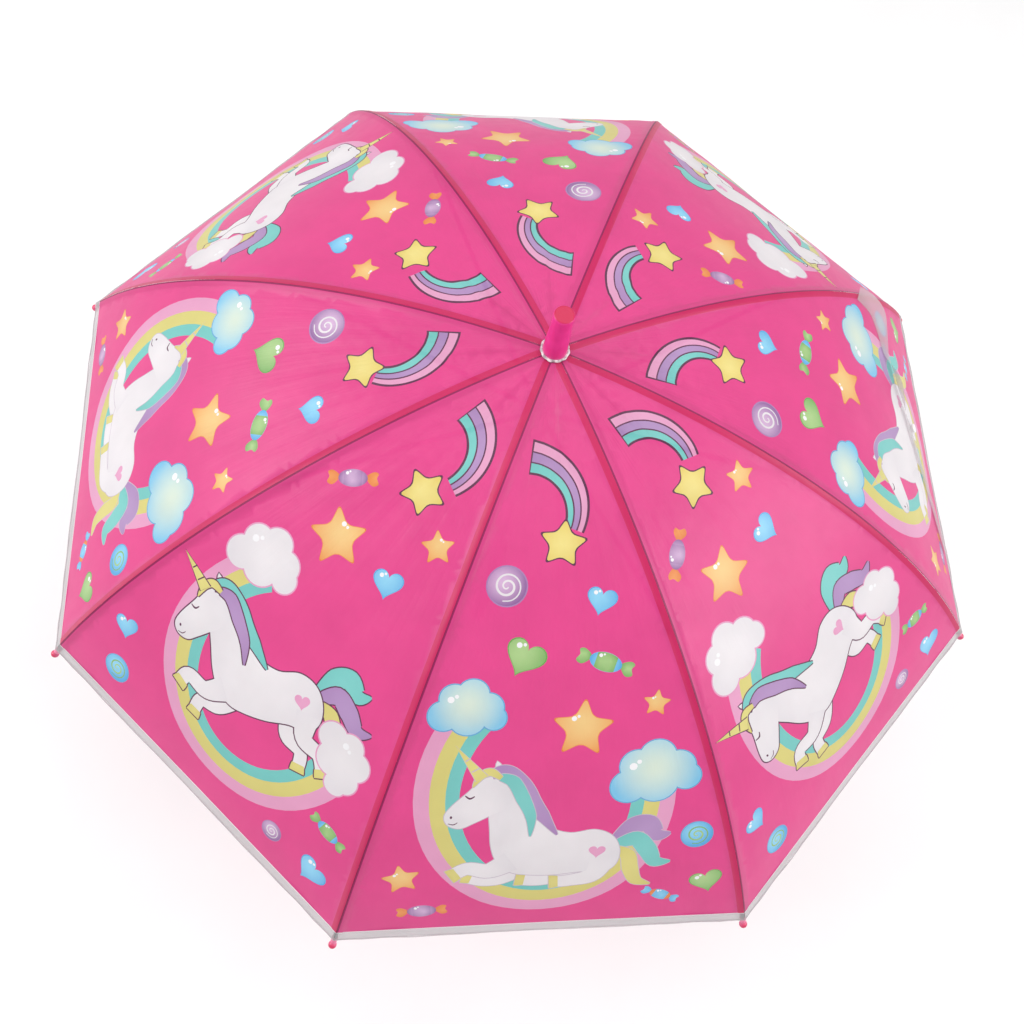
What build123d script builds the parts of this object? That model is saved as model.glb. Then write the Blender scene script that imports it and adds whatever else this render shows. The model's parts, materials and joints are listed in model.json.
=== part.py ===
"""Child's dome umbrella with eight ribs, in millimetres, +Z up.

The origin is on the shaft's axis, level with the lowest point of the crook handle.
The umbrella stands open. Rib 1 lies along +X and the ribs are numbered counter-clockwise.
"""

from math import asin, atan2, cos, degrees, hypot, radians, sin, sqrt
import os

from build123d import *

os.makedirs("parts", exist_ok=True)

# ---- driving dimensions -----------------------------------------------------------------
rib_count = 8
overall_length = 660.0
ferrule_length = 47.0

# the arc of the open canopy, from the apex to a hem corner
corner_radius = 414.0
corner_drop = 211.5
arc_rise = 51.5

film_thickness = 0.6
film_hole_radius = 6.0
panel_gap = 0.1
cut_margin = 10.0

rib_width = 3.2
rib_height = 3.0
rib_top_offset = -1.5
rib_start = 19.0
rib_setback = 0.5
hole_clearance = 0.05

pivot_radius = 9.5
pivot_drop = 7.0
pivot_wire_radius = 0.6
eyelet_radius = 2.1
eyelet_width = 1.6
eyelet_neck = 9.0
slot_width = 2.0

joint_arc = 210.0
joint_offset = -4.6
joint_boss_radius = 2.4
joint_pin_radius = 1.0
joint_pin_head = 1.8
joint_head_thickness = 0.6

fold_angle = 57.0

shaft_radius = 4.0
shaft_wall = 0.8
sliding_clearance = 0.06

handle_radius = 8.0
hook_radius = 26.0
handle_top = 150.0

# ---- the canopy's arc ---------------------------------------------------------------------
gore_half_angle = 180.0 / rib_count
gore_scale = cos(radians(gore_half_angle))
apex_z = overall_length - ferrule_length
chord = hypot(corner_radius, corner_drop)
arc_radius = (chord**2 / 4 + arc_rise**2) / (2 * arc_rise)
arc_length = 2 * arc_radius * asin(chord / 2 / arc_radius)
normal_r, normal_z = corner_drop / chord, corner_radius / chord
centre_r = corner_radius / 2 - normal_r * (arc_radius - arc_rise)
centre_z = apex_z - corner_drop / 2 - normal_z * (arc_radius - arc_rise)
apex_angle = atan2(apex_z - centre_z, -centre_r)


def on_arc(s, offset=0.0):
    """Radius and height of the point s along the arc, moved outwards by offset."""
    angle = apex_angle - s / arc_radius
    reach = arc_radius + offset
    return centre_r + reach * cos(angle), centre_z + reach * sin(angle)


def arc_at_radius(r):
    """Distance along the arc at which it is r from the shaft's axis."""
    return arc_radius * (apex_angle - atan2(sqrt(arc_radius**2 - (r - centre_r) ** 2), r - centre_r))


def radial_plane(azimuth):
    """Upright plane through the axis: local x points outwards and local y points up."""
    a = radians(azimuth)
    return Plane(origin=(0, 0, 0), x_dir=(cos(a), sin(a), 0), z_dir=(sin(a), -cos(a), 0))


def save(part, label):
    part.label = label
    export_step(part, f"parts/{label}.step")


# ---- pivots of the folding frame ------------------------------------------------------------
# The crown-to-joint link and the stretcher are equally long, so the runner stays on the axis.
crown_pivot_z = apex_z - pivot_drop
joint_r, joint_z = on_arc(joint_arc, joint_offset)
link_length = hypot(joint_r - pivot_radius, crown_pivot_z - joint_z)
link_angle = degrees(atan2(crown_pivot_z - joint_z, joint_r - pivot_radius))
runner_pivot_z = 2 * joint_z - crown_pivot_z
runner_travel = 2 * link_length * (sin(radians(link_angle + fold_angle)) - sin(radians(link_angle)))

# ---- canopy panel: the two half gores welded along one rib -----------------------------------
hem_s = arc_length
band_points = 9


def gore_band(start_s, inner, outer):
    """Outline of a gore's section on its middle plane, between two offsets of the arc."""
    steps = [start_s + (hem_s - start_s) * i / (band_points - 1) for i in range(band_points)]
    top = [(on_arc(s, outer)[0] * gore_scale, on_arc(s, outer)[1]) for s in steps]
    bottom = [(on_arc(s, inner)[0] * gore_scale, on_arc(s, inner)[1]) for s in steps]
    with BuildLine() as outline:
        Spline(*top)
        Line(top[-1], bottom[-1])
        Spline(*reversed(bottom))
        Line(bottom[0], top[0])
    return outline


hem_half = corner_radius * sin(radians(gore_half_angle))
below_hem_z = apex_z - corner_drop - cut_margin
cut_height = corner_drop + 2 * cut_margin
wedge_x = corner_radius + 3 * cut_margin
wedge_y = wedge_x * sin(radians(gore_half_angle)) / gore_scale

with BuildPart() as half_gore:
    with BuildSketch(radial_plane(gore_half_angle).offset(panel_gap)):
        add(gore_band(arc_at_radius(film_hole_radius), -film_thickness, 0.0).line)
        make_face()
    extrude(amount=hem_half + cut_margin)
    with BuildSketch(Plane.XY.offset(below_hem_z)):
        with BuildLine():
            Polyline((0, 0), (wedge_x, 0), (wedge_x, wedge_y), close=True)
        make_face()
    extrude(amount=cut_height, mode=Mode.INTERSECT)

with BuildPart() as panel_master:
    add(half_gore.part)
    mirror(half_gore.part, about=Plane.XZ)

# ---- rib: a flat bar bent to the arc, with an eyelet for the crown's wire ---------------------
rib_top = rib_top_offset
rib_bottom = rib_top_offset - rib_height
rib_middle = rib_top_offset - rib_height / 2
rib_end = hem_s - rib_setback
neck_half_height = 1.4
neck_inset = 0.2
neck_overlap = 1.0
spigot_radius = 1.1
spigot_length = 6.5


def end_frame(s, offset):
    """Plane at s along the arc whose normal follows the arc outwards."""
    r, z = on_arc(s, offset)
    tangent = apex_angle - s / arc_radius
    return Plane(origin=(r, 0, z), x_dir=(0, 1, 0), z_dir=(sin(tangent), 0, -cos(tangent)))


with BuildPart() as rib_master:
    with BuildSketch(Plane.XZ):
        with BuildLine():
            middle_s = (rib_start + rib_end) / 2
            ThreePointArc(on_arc(rib_start, rib_top), on_arc(middle_s, rib_top), on_arc(rib_end, rib_top))
            Line(on_arc(rib_end, rib_top), on_arc(rib_end, rib_bottom))
            ThreePointArc(
                on_arc(rib_end, rib_bottom), on_arc(middle_s, rib_bottom), on_arc(rib_start, rib_bottom)
            )
            Line(on_arc(rib_start, rib_bottom), on_arc(rib_start, rib_top))
        make_face()
    extrude(amount=rib_width / 2, both=True)
    # flattened neck and eyelet
    with BuildSketch(Plane.XZ):
        with Locations((pivot_radius, crown_pivot_z)):
            Circle(eyelet_radius)
        with BuildLine():
            Polyline(
                (pivot_radius, crown_pivot_z + neck_half_height),
                on_arc(rib_start + neck_overlap, rib_top - neck_inset),
                on_arc(rib_start + neck_overlap, rib_bottom + neck_inset),
                (pivot_radius, crown_pivot_z - neck_half_height),
                close=True,
            )
        make_face()
    extrude(amount=eyelet_width / 2, both=True)
    # boss for the stretcher's rivet
    with BuildSketch(Plane.XZ):
        with Locations((joint_r, joint_z)):
            Circle(joint_boss_radius)
    extrude(amount=rib_width / 2, both=True)
    with BuildSketch(end_frame(rib_end, rib_middle)):
        Circle(spigot_radius)
    extrude(amount=spigot_length)
    with BuildSketch(Plane.XZ):
        with Locations((pivot_radius, crown_pivot_z)):
            Circle(pivot_wire_radius + 2 * hole_clearance)
        with Locations((joint_r, joint_z)):
            Circle(joint_pin_radius + hole_clearance)
    extrude(amount=rib_width, both=True, mode=Mode.SUBTRACT)

# ---- rib tip: socket, neck and ball, moulded in one -------------------------------------------
ball_radius = 3.2
socket_radius = 2.4
neck_radius = 1.5
socket_start = 0.9
socket_end = 7.0
socket_chamfer = 0.4
socket_taper = 0.6
spigot_gap = 0.2
ball_centre = 11.0
ball_start = ball_centre - sqrt(ball_radius**2 - neck_radius**2)

tip_frame = end_frame(rib_end, rib_middle)
with BuildPart() as tip_master:
    with BuildSketch(Plane(origin=tip_frame.origin, x_dir=tip_frame.z_dir, z_dir=(0, -1, 0))):
        with BuildLine():
            Polyline(
                (socket_start, spigot_radius + hole_clearance),
                (socket_start, socket_radius - socket_chamfer),
                (socket_start + socket_chamfer, socket_radius),
                (socket_end - socket_taper, socket_radius),
                (socket_end, neck_radius),
                (ball_start, neck_radius),
            )
            ThreePointArc(
                (ball_start, neck_radius), (ball_centre, ball_radius), (ball_centre + ball_radius, 0)
            )
            Polyline(
                (ball_centre + ball_radius, 0),
                (spigot_length + spigot_gap, 0),
                (spigot_length + spigot_gap, spigot_radius + hole_clearance),
                (socket_start, spigot_radius + hole_clearance),
            )
        make_face()
    revolve(axis=Axis(tip_frame.origin, tip_frame.z_dir))

# ---- stretcher: a bar with an eyelet on the runner's wire and a fork round the rib --------------
fork_gap = rib_width + 0.4
fork_width = 5.6
fork_root = 13.0
bar_overlap = 4.0
ear_radius = 2.7
bar_height = 2.8
stretcher_plane = Plane(
    origin=(pivot_radius, 0, runner_pivot_z),
    x_dir=(cos(radians(link_angle)), 0, sin(radians(link_angle))),
    z_dir=(0, -1, 0),
)

with BuildPart() as stretcher_master:
    with BuildSketch(stretcher_plane):
        Circle(eyelet_radius)
        with Locations(((eyelet_neck + bar_overlap) / 2, 0)):
            Rectangle(eyelet_neck + bar_overlap, bar_height)
    extrude(amount=eyelet_width / 2, both=True)
    with BuildSketch(stretcher_plane):
        with Locations(((eyelet_neck + link_length - fork_root) / 2, 0)):
            Rectangle(link_length - fork_root - eyelet_neck, bar_height)
    extrude(amount=rib_width / 2, both=True)
    with BuildSketch(stretcher_plane):
        with Locations((link_length, 0)):
            Circle(ear_radius)
        with Locations((link_length - (fork_root + bar_overlap) / 2, 0)):
            Rectangle(fork_root + bar_overlap, bar_height)
    extrude(amount=fork_width / 2, both=True)
    with BuildSketch(stretcher_plane):
        with Locations((link_length - fork_root / 2 + ear_radius, 0)):
            Rectangle(fork_root + 2 * ear_radius, 4 * ear_radius)
    extrude(amount=fork_gap / 2, both=True, mode=Mode.SUBTRACT)
    with BuildSketch(stretcher_plane):
        Circle(pivot_wire_radius + 2 * hole_clearance)
        with Locations((link_length, 0)):
            Circle(joint_pin_radius)
    extrude(amount=fork_width, both=True, mode=Mode.SUBTRACT)

with BuildPart() as joint_pin_master:
    with BuildSketch(Plane.XZ):
        with Locations((joint_r, joint_z)):
            Circle(joint_pin_radius)
    extrude(amount=fork_width / 2, both=True)
    for side in (-1, 1):
        with BuildSketch(Plane.XZ.offset(side * fork_width / 2)):
            with Locations((joint_r, joint_z)):
                Circle(joint_pin_head)
        extrude(amount=side * joint_head_thickness)

for number in range(1, rib_count + 1):
    azimuth = 360.0 / rib_count * (number - 1)
    masters = {
        "canopy_panel": panel_master,
        "rib": rib_master,
        "rib_tip": tip_master,
        "stretcher": stretcher_master,
        "joint_rivet": joint_pin_master,
    }
    for name, master in masters.items():
        with BuildPart() as copy:
            add(master.part, rotation=(0, 0, azimuth))
        save(copy.part, f"{name}_{number}")

# ---- crown: slotted disc that holds the ribs' inner ends ---------------------------------------
crown_radius = 12.5
crown_bottom = crown_pivot_z - 5.0
crown_top = crown_pivot_z + 5.3
slot_inner_radius = 6.8
slot_outer_radius = crown_radius + 2.0


def slotted_collar(bottom, top, wire_z):
    """Disc with a slot for each rib or stretcher and a ring groove for the pivot wire."""
    with BuildPart() as collar:
        with BuildSketch(Plane.XY.offset(bottom)):
            Circle(crown_radius)
            Circle(shaft_radius + sliding_clearance, mode=Mode.SUBTRACT)
            with PolarLocations((slot_inner_radius + slot_outer_radius) / 2, rib_count):
                Rectangle(slot_outer_radius - slot_inner_radius, slot_width, mode=Mode.SUBTRACT)
        extrude(amount=top - bottom)
        with Locations((0, 0, wire_z)):
            Torus(pivot_radius, pivot_wire_radius + hole_clearance, mode=Mode.SUBTRACT)
    return collar.part


crown = slotted_collar(crown_bottom, crown_top, crown_pivot_z)
save(crown, "crown")

with BuildPart() as crown_wire:
    with Locations((0, 0, crown_pivot_z)):
        Torus(pivot_radius, pivot_wire_radius)
save(crown_wire.part, "crown_wire")

# ---- shaft, ferrule and washer ------------------------------------------------------------------
catch_azimuth = gore_half_angle
catch_width = 2.0
catch_height = 8.0
catch_reach = 1.6
catch_inner_radius = 1.0
catch_nose = 1.5
catch_foot = 0.2
catch_slot_clearance = 0.25
collar_half = 5.0
runner_length = 42.0
runner_bottom = runner_pivot_z - runner_length
top_catch_z = runner_bottom - catch_height - 1.0
bottom_catch_z = runner_bottom - runner_travel + 14.0
shaft_bottom = 70.0
shaft_top = apex_z + 34.0
drill_margin = 1.0
pin_radius = 1.0
handle_pin_z = 120.0
ferrule_pin_z = apex_z + 12.0
stop_pin_z = runner_pivot_z + collar_half + 2.0

with BuildPart() as shaft_tube:
    with BuildSketch(Plane.XY.offset(shaft_bottom)):
        Circle(shaft_radius)
        Circle(shaft_radius - shaft_wall, mode=Mode.SUBTRACT)
    extrude(amount=shaft_top - shaft_bottom)
    for catch_z in (top_catch_z, bottom_catch_z):
        with BuildSketch(radial_plane(catch_azimuth)):
            with Locations((shaft_radius, catch_z + catch_height / 2)):
                Rectangle(2 * (shaft_wall + drill_margin), catch_height + 2 * catch_slot_clearance)
        extrude(amount=catch_width / 2 + catch_slot_clearance, both=True, mode=Mode.SUBTRACT)
    for pin_z in (handle_pin_z, ferrule_pin_z):
        with BuildSketch(Plane.XZ):
            with Locations((0, pin_z)):
                Circle(pin_radius)
        extrude(amount=shaft_radius + drill_margin, both=True, mode=Mode.SUBTRACT)
    with BuildSketch(Plane.YZ):
        with Locations((0, stop_pin_z)):
            Circle(pin_radius)
    extrude(amount=shaft_radius + drill_margin, both=True, mode=Mode.SUBTRACT)
save(shaft_tube.part, "shaft_tube")

washer_radius = 10.4
washer_bottom = apex_z + 0.3
washer_top = apex_z + 1.8
washer_round = 0.6
with BuildPart() as top_washer:
    with BuildSketch(Plane.XY.offset(washer_bottom)):
        Circle(washer_radius)
        Circle(shaft_radius + sliding_clearance, mode=Mode.SUBTRACT)
    extrude(amount=washer_top - washer_bottom)
    fillet(top_washer.edges().group_by(Axis.Z)[-1].sort_by(SortBy.RADIUS)[-1], washer_round)
save(top_washer.part, "top_washer")

ferrule_base_radius = 8.7
ferrule_tip_radius = 7.1
ferrule_tip_length = 12.0
ferrule_foot_height = 12.0
ferrule_foot_taper = 0.5
ferrule_round = 1.3
ferrule_bore_gap = 0.5
ferrule_pin_half = shaft_radius + 2.8
with BuildPart() as ferrule:
    with BuildSketch(Plane.XZ):
        with BuildLine():
            Polyline(
                (0, washer_top),
                (ferrule_base_radius, washer_top),
                (ferrule_base_radius - ferrule_foot_taper, washer_top + ferrule_foot_height),
                (ferrule_tip_radius, overall_length - ferrule_round - ferrule_tip_length),
                (ferrule_tip_radius, overall_length),
                (0, overall_length),
                close=True,
            )
        make_face()
    revolve(axis=Axis.Z)
    fillet(ferrule.edges().group_by(Axis.Z)[-1], ferrule_round)
    with BuildSketch(Plane.XY.offset(washer_top)):
        Circle(shaft_radius + sliding_clearance)
    extrude(amount=shaft_top + ferrule_bore_gap - washer_top, mode=Mode.SUBTRACT)
    with BuildSketch(Plane.XZ):
        with Locations((0, ferrule_pin_z)):
            Circle(pin_radius)
    extrude(amount=ferrule_pin_half, both=True, mode=Mode.SUBTRACT)
save(ferrule.part, "ferrule")


def cross_pin(label, plane, pin_z, half_length):
    """Plain pin through the shaft, across the given plane."""
    with BuildPart() as pin:
        with BuildSketch(plane):
            with Locations((0, pin_z)):
                Circle(pin_radius)
        extrude(amount=half_length, both=True)
    save(pin.part, label)


pin_setback = 0.2
stop_half_length = 6.2
cross_pin("ferrule_pin", Plane.XZ, ferrule_pin_z, ferrule_pin_half - pin_setback)
cross_pin("handle_pin", Plane.XZ, handle_pin_z, handle_radius - 2 * pin_setback)
cross_pin("runner_stop_pin", Plane.YZ, stop_pin_z, stop_half_length)

# ---- crook handle and its collar ------------------------------------------------------------------
hook_z = hook_radius + handle_radius
hook_tail = 16.0
handle_bore_gap = 0.5
with BuildPart() as handle:
    with BuildLine(Plane.YZ) as hook_path:
        Line((0, handle_top), (0, hook_z))
        ThreePointArc((0, hook_z), (-hook_radius, hook_z - hook_radius), (-2 * hook_radius, hook_z))
        Line((-2 * hook_radius, hook_z), (-2 * hook_radius, hook_z + hook_tail))
    with BuildSketch(Plane.XY.offset(handle_top)):
        Circle(handle_radius)
    sweep(path=hook_path.wire())
    with Locations((0, -2 * hook_radius, hook_z + hook_tail)):
        Sphere(handle_radius)
    with BuildSketch(Plane.XY.offset(handle_top)):
        Circle(shaft_radius + sliding_clearance)
    extrude(amount=-(handle_top - shaft_bottom + handle_bore_gap), mode=Mode.SUBTRACT)
    with BuildSketch(Plane.XZ):
        with Locations((0, handle_pin_z)):
            Circle(pin_radius)
    extrude(amount=handle_radius, both=True, mode=Mode.SUBTRACT)
save(handle.part, "handle")

collar_height = 9.0
collar_overhang = 1.4
collar_top_round = 2.0
collar_foot_round = 0.8
with BuildPart() as handle_collar:
    with BuildSketch(Plane.XY.offset(handle_top)):
        Circle(handle_radius + collar_overhang)
        Circle(shaft_radius + sliding_clearance, mode=Mode.SUBTRACT)
    extrude(amount=collar_height)
    fillet(handle_collar.edges().group_by(Axis.Z)[-1].sort_by(SortBy.RADIUS)[-1], collar_top_round)
    fillet(handle_collar.edges().group_by(Axis.Z)[0].sort_by(SortBy.RADIUS)[-1], collar_foot_round)
save(handle_collar.part, "handle_collar")

# ---- runner: slotted collar on a sleeve, with a keyway that passes over the catches -----------------
sleeve_radius = 8.0
thumb_ring_radius = 11.0
keyway_width = 3.0
keyway_radius = 6.2
runner_top = runner_pivot_z + collar_half
with BuildPart() as runner:
    add(slotted_collar(runner_pivot_z - collar_half, runner_top, runner_pivot_z))
    with BuildSketch(Plane.XY.offset(runner_bottom)):
        Circle(sleeve_radius)
        Circle(shaft_radius + sliding_clearance, mode=Mode.SUBTRACT)
    extrude(amount=runner_length - collar_half)
    with BuildSketch(radial_plane(catch_azimuth)):
        with Locations((keyway_radius / 2, (runner_bottom + runner_top) / 2)):
            Rectangle(keyway_radius, runner_top - runner_bottom + 2 * drill_margin)
    extrude(amount=keyway_width / 2, both=True, mode=Mode.SUBTRACT)
save(runner.part, "runner")

thumb_ring_bottom = runner_bottom + 3.0
thumb_ring_height = 9.0
thumb_ring_round = 1.4
with BuildPart() as thumb_ring:
    with BuildSketch(Plane.XY.offset(thumb_ring_bottom)):
        Circle(thumb_ring_radius)
        Circle(sleeve_radius + hole_clearance, mode=Mode.SUBTRACT)
    extrude(amount=thumb_ring_height)
    fillet(thumb_ring.edges().filter_by(GeomType.CIRCLE).group_by(SortBy.RADIUS)[-1], thumb_ring_round)
save(thumb_ring.part, "thumb_ring")

with BuildPart() as runner_wire:
    with Locations((0, 0, runner_pivot_z)):
        Torus(pivot_radius, pivot_wire_radius)
save(runner_wire.part, "runner_wire")

# ---- spring catches in the shaft ------------------------------------------------------------------
for label, catch_z in (("top_catch", top_catch_z), ("bottom_catch", bottom_catch_z)):
    with BuildPart() as catch:
        with BuildSketch(radial_plane(catch_azimuth)):
            with BuildLine():
                Polyline(
                    (catch_inner_radius, catch_z),
                    (shaft_radius + catch_foot, catch_z),
                    (shaft_radius + catch_reach, catch_z + catch_height - catch_nose),
                    (shaft_radius + catch_reach, catch_z + catch_height),
                    (catch_inner_radius, catch_z + catch_height),
                    close=True,
                )
            make_face()
        extrude(amount=catch_width / 2, both=True)
    save(catch.part, label)

# ---- closure strap on the first gore, with its press stud ---------------------------------------------
strap_width = 13.0
strap_lift = 0.5
strap_thickness = 0.6
strap_path = [(-92.0, 370.0), (-30.0, 356.0), (66.0, 332.0), (116.0, 300.0)]
stud_place = (16.0, 344.5)
stud_radius = 5.0
stud_thickness = 2.2
strap_layer_start = 300.0
gore_plane = Plane(
    origin=(0, 0, below_hem_z),
    x_dir=(-sin(radians(gore_half_angle)), cos(radians(gore_half_angle)), 0),
    z_dir=(0, 0, -1),
)


def over_gore(prism, low, high, label):
    """Keeps what an upright prism holds of a layer over the gore, between two heights over the film."""
    with BuildPart() as patch:
        with BuildSketch(radial_plane(gore_half_angle)):
            add(gore_band(strap_layer_start, low, high).line)
            make_face()
        extrude(amount=hem_half - cut_margin / 2, both=True)
        add(prism, mode=Mode.INTERSECT)
    save(patch.part, label)


with BuildPart() as strap_prism:
    with BuildSketch(gore_plane):
        with BuildLine():
            Polyline(*strap_path)
        trace(line_width=strap_width)
    extrude(amount=-cut_height)
over_gore(strap_prism.part, strap_lift, strap_lift + strap_thickness, "closure_strap")

with BuildPart() as stud_prism:
    with BuildSketch(gore_plane):
        with Locations(stud_place):
            Circle(stud_radius)
    extrude(amount=-cut_height)
stud_low = strap_lift + strap_thickness
over_gore(stud_prism.part, stud_low, stud_low + stud_thickness, "strap_snap")

print("arc length", round(arc_length, 1), "arc radius", round(arc_radius, 1))
print("crown pivot", pivot_radius, crown_pivot_z)
print("joint", joint_r, joint_z, "link", link_length, "angle", link_angle)
print("runner pivot", runner_pivot_z, "travel", runner_travel)
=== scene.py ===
# %% [markdown]
# A child's stick umbrella stands open. Its canopy is eight gores of thin printed film, welded along the
# ribs, and everything hard under it is the fixed frame that this script loads. The lesson goes through
# the finishes first, then the film and its print, and then the small soft and moulded pieces.

# %% The frame
import json
from math import asin, atan2, cos, hypot, pi, radians, sin, tan, tau

import bmesh
import bpy
import numpy as np
from mathutils import Matrix, Vector
from mathutils.geometry import delaunay_2d_cdt

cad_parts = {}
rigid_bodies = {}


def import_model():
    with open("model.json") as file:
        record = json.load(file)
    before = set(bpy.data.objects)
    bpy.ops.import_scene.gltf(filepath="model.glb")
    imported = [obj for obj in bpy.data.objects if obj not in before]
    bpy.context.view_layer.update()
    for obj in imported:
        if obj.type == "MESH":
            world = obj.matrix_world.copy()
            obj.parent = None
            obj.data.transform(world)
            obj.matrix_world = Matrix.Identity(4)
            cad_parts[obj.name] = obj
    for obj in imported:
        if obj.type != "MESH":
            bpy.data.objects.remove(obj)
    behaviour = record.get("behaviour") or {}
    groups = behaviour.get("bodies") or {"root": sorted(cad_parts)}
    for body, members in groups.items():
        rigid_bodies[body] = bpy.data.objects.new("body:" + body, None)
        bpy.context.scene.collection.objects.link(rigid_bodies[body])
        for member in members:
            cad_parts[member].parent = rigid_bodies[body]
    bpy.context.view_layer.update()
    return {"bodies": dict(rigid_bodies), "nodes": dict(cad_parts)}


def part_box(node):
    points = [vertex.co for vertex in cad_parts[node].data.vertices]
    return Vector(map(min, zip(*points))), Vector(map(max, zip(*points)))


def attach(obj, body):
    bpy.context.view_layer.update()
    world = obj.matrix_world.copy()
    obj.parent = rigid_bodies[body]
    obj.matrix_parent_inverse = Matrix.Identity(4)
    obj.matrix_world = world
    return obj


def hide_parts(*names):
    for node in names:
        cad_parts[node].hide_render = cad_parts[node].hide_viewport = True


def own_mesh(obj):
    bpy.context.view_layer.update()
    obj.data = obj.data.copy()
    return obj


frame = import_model()
MM = 0.001
RIBS = range(1, 9)


def report(name, value):
    """Prints one line on what a cell made."""
    print(f"{name}: {value}")


report("bodies", len(frame["bodies"]))

# %% [markdown]
# A finish is a small tree of shader nodes. One helper adds a node with its settings and links, so each
# finish reads as a list of what feeds what. Colours are written as sRGB hex, as a maker picks them, and
# one function turns them into the linear light that the renderer works in.

# %% Helpers for finishes


def linear(hex_colour):
    """An sRGB hex colour as linear red, green, blue and alpha."""
    parts = [int(hex_colour[i:i + 2], 16) / 255 for i in (1, 3, 5)]
    return [c / 12.92 if c <= 0.04045 else ((c + 0.055) / 1.055) ** 2.4 for c in parts] + [1.0]


def add(tree, kind, inputs=None, **settings):
    """Adds a node. Inputs pair a socket's name or number with a value or with another node's output."""
    node = tree.nodes.new(kind)
    for name, value in settings.items():
        setattr(node, name, value)
    for key, value in (inputs or {}).items():
        if isinstance(value, bpy.types.NodeSocket):
            tree.links.new(value, node.inputs[key])
        else:
            node.inputs[key].default_value = value
    return node


def new_finish(name):
    """An empty material with its output node."""
    material = bpy.data.materials.new(name)
    material.use_nodes = True
    material.node_tree.nodes.clear()
    return material, material.node_tree, add(material.node_tree, "ShaderNodeOutputMaterial")


def grain(tree, size_mm, detail=3.0, roughness=0.55, stretch=(1, 1, 1)):
    """Noise whose lumps are about size_mm across, in the row frame's metres."""
    place = add(tree, "ShaderNodeTexCoord").outputs["Object"]
    scaled = add(tree, "ShaderNodeMapping", {"Vector": place, "Scale": stretch})
    return add(tree, "ShaderNodeTexNoise", {"Vector": scaled.outputs[0], "Scale": 1 / (size_mm * MM),
                                            "Detail": detail, "Roughness": roughness})


# %% [markdown]
# Injection moulded plastic has an even colour with a faint cloudiness, and a skin that is never quite
# flat: a shallow orange peel a few millimetres wide, under finer scuffs that change only the gloss. The
# handle and the thumb ring are polypropylene (PP), which light enters a little. The runner and crown
# are acetal (POM), stiff and slippery. The washer is soft polyethylene (PE), frosted by its grain. One
# function makes them all, because they differ only in tone, gloss and grain.

# %% Moulded plastics


def moulded(name, light, dark, rough, patch_mm=14.0, peel_mm=3.0, peel=0.12, subsurface=0.0, coat=0.0):
    """Gloss plastic: patches of two close tones, an orange peel, and scuffs in the roughness."""
    material, tree, out = new_finish(name)
    patches = add(tree, "ShaderNodeMapRange", {"Value": grain(tree, patch_mm).outputs[0],
                                               "From Min": 0.35, "From Max": 0.65})
    tone = add(tree, "ShaderNodeMix", {"Factor": patches.outputs[0], 6: linear(dark), 7: linear(light)},
               data_type="RGBA")
    scuff = add(tree, "ShaderNodeMapRange", {"Value": grain(tree, 1.6, 6.0, 0.7).outputs[0],
                                             "To Min": rough - 0.07, "To Max": rough + 0.09})
    skin = add(tree, "ShaderNodeBump", {"Height": grain(tree, peel_mm, 1.0).outputs[0],
                                        "Strength": peel, "Distance": 0.0002})
    plastic = add(tree, "ShaderNodeBsdfPrincipled", {
        "Base Color": tone.outputs[2], "Roughness": scuff.outputs[0], "Normal": skin.outputs[0],
        "IOR": 1.5, "Subsurface Weight": subsurface, "Subsurface Radius": (0.004, 0.0012, 0.0015),
        "Subsurface Scale": 1.0, "Coat Weight": coat, "Coat Roughness": 0.12})
    tree.links.new(plastic.outputs[0], out.inputs[0])
    return material


hot_pink = moulded("hot_pink_moulded_pp", "#F9479E", "#E93390", 0.28, subsurface=0.12, coat=0.25)
white_pom = moulded("white_moulded_pom", "#F1EFEE", "#E3E0DF", 0.36, subsurface=0.1)
frosted_pe = moulded("frosted_white_pe", "#F3ECEE", "#9C8A90", 0.26, patch_mm=3.0, peel_mm=2.2, peel=0.9,
                     subsurface=0.2)
report("moulded plastics", [m.name for m in (hot_pink, white_pom, frosted_pe)])

# %% [markdown]
# Some mouldings get light and shade painted into their tone along themselves. The tips are made
# in one piece with the ball, in crimson polypropylene, and their thin socket is painted lighter, as a
# painted glow for the light that comes through its thin wall. The ferrule is a pink shell of the same
# plastic, and its upward end face is painted deeper than its sides, as painted shade. In both the tone
# follows a measured place, so it stays where the wall changes.

# %% Rib tips and ferrule
TIP_GLOW_FADE_STARTS = 0.4165
TIP_GLOW_FADE_ENDS = 0.4195
END_FACE_DEPTH = 0.0009
END_FACE_SKIN = 0.0001


def blend_tone(material, share, first=None, last=None):
    """Blends the moulding's own tone with the one that is given, by share."""
    tree = material.node_tree
    plastic = next(n for n in tree.nodes if n.type == "BSDF_PRINCIPLED")
    own = plastic.inputs["Base Color"].links[0].from_socket
    tone = add(tree, "ShaderNodeMix", {"Factor": share.outputs[0], 6: first or own, 7: last or own},
               data_type="RGBA")
    tree.links.new(tone.outputs[2], plastic.inputs["Base Color"])
    return material


def tip_finish():
    """Moulded crimson with a painted glow on the thin socket, lighter than the ball, by distance from the
    shaft.
    """
    material = moulded("crimson_moulded_pp", "#DB3564", "#C82A55", 0.3, subsurface=0.1, coat=0.2)
    tree = material.node_tree
    place = add(tree, "ShaderNodeTexCoord").outputs["Object"]
    level = add(tree, "ShaderNodeVectorMath", {0: place, 1: (1, 1, 0)}, operation="MULTIPLY")
    reach = add(tree, "ShaderNodeVectorMath", {0: level.outputs[0]}, operation="LENGTH")
    share = add(tree, "ShaderNodeMapRange", {"Value": reach.outputs["Value"],
                                             "From Min": TIP_GLOW_FADE_STARTS, "From Max": TIP_GLOW_FADE_ENDS})
    # Painted glow: the socket near the shaft is lighter, for the light that comes through its thin wall.
    return blend_tone(material, share, first=linear("#E86C98"))


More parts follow.
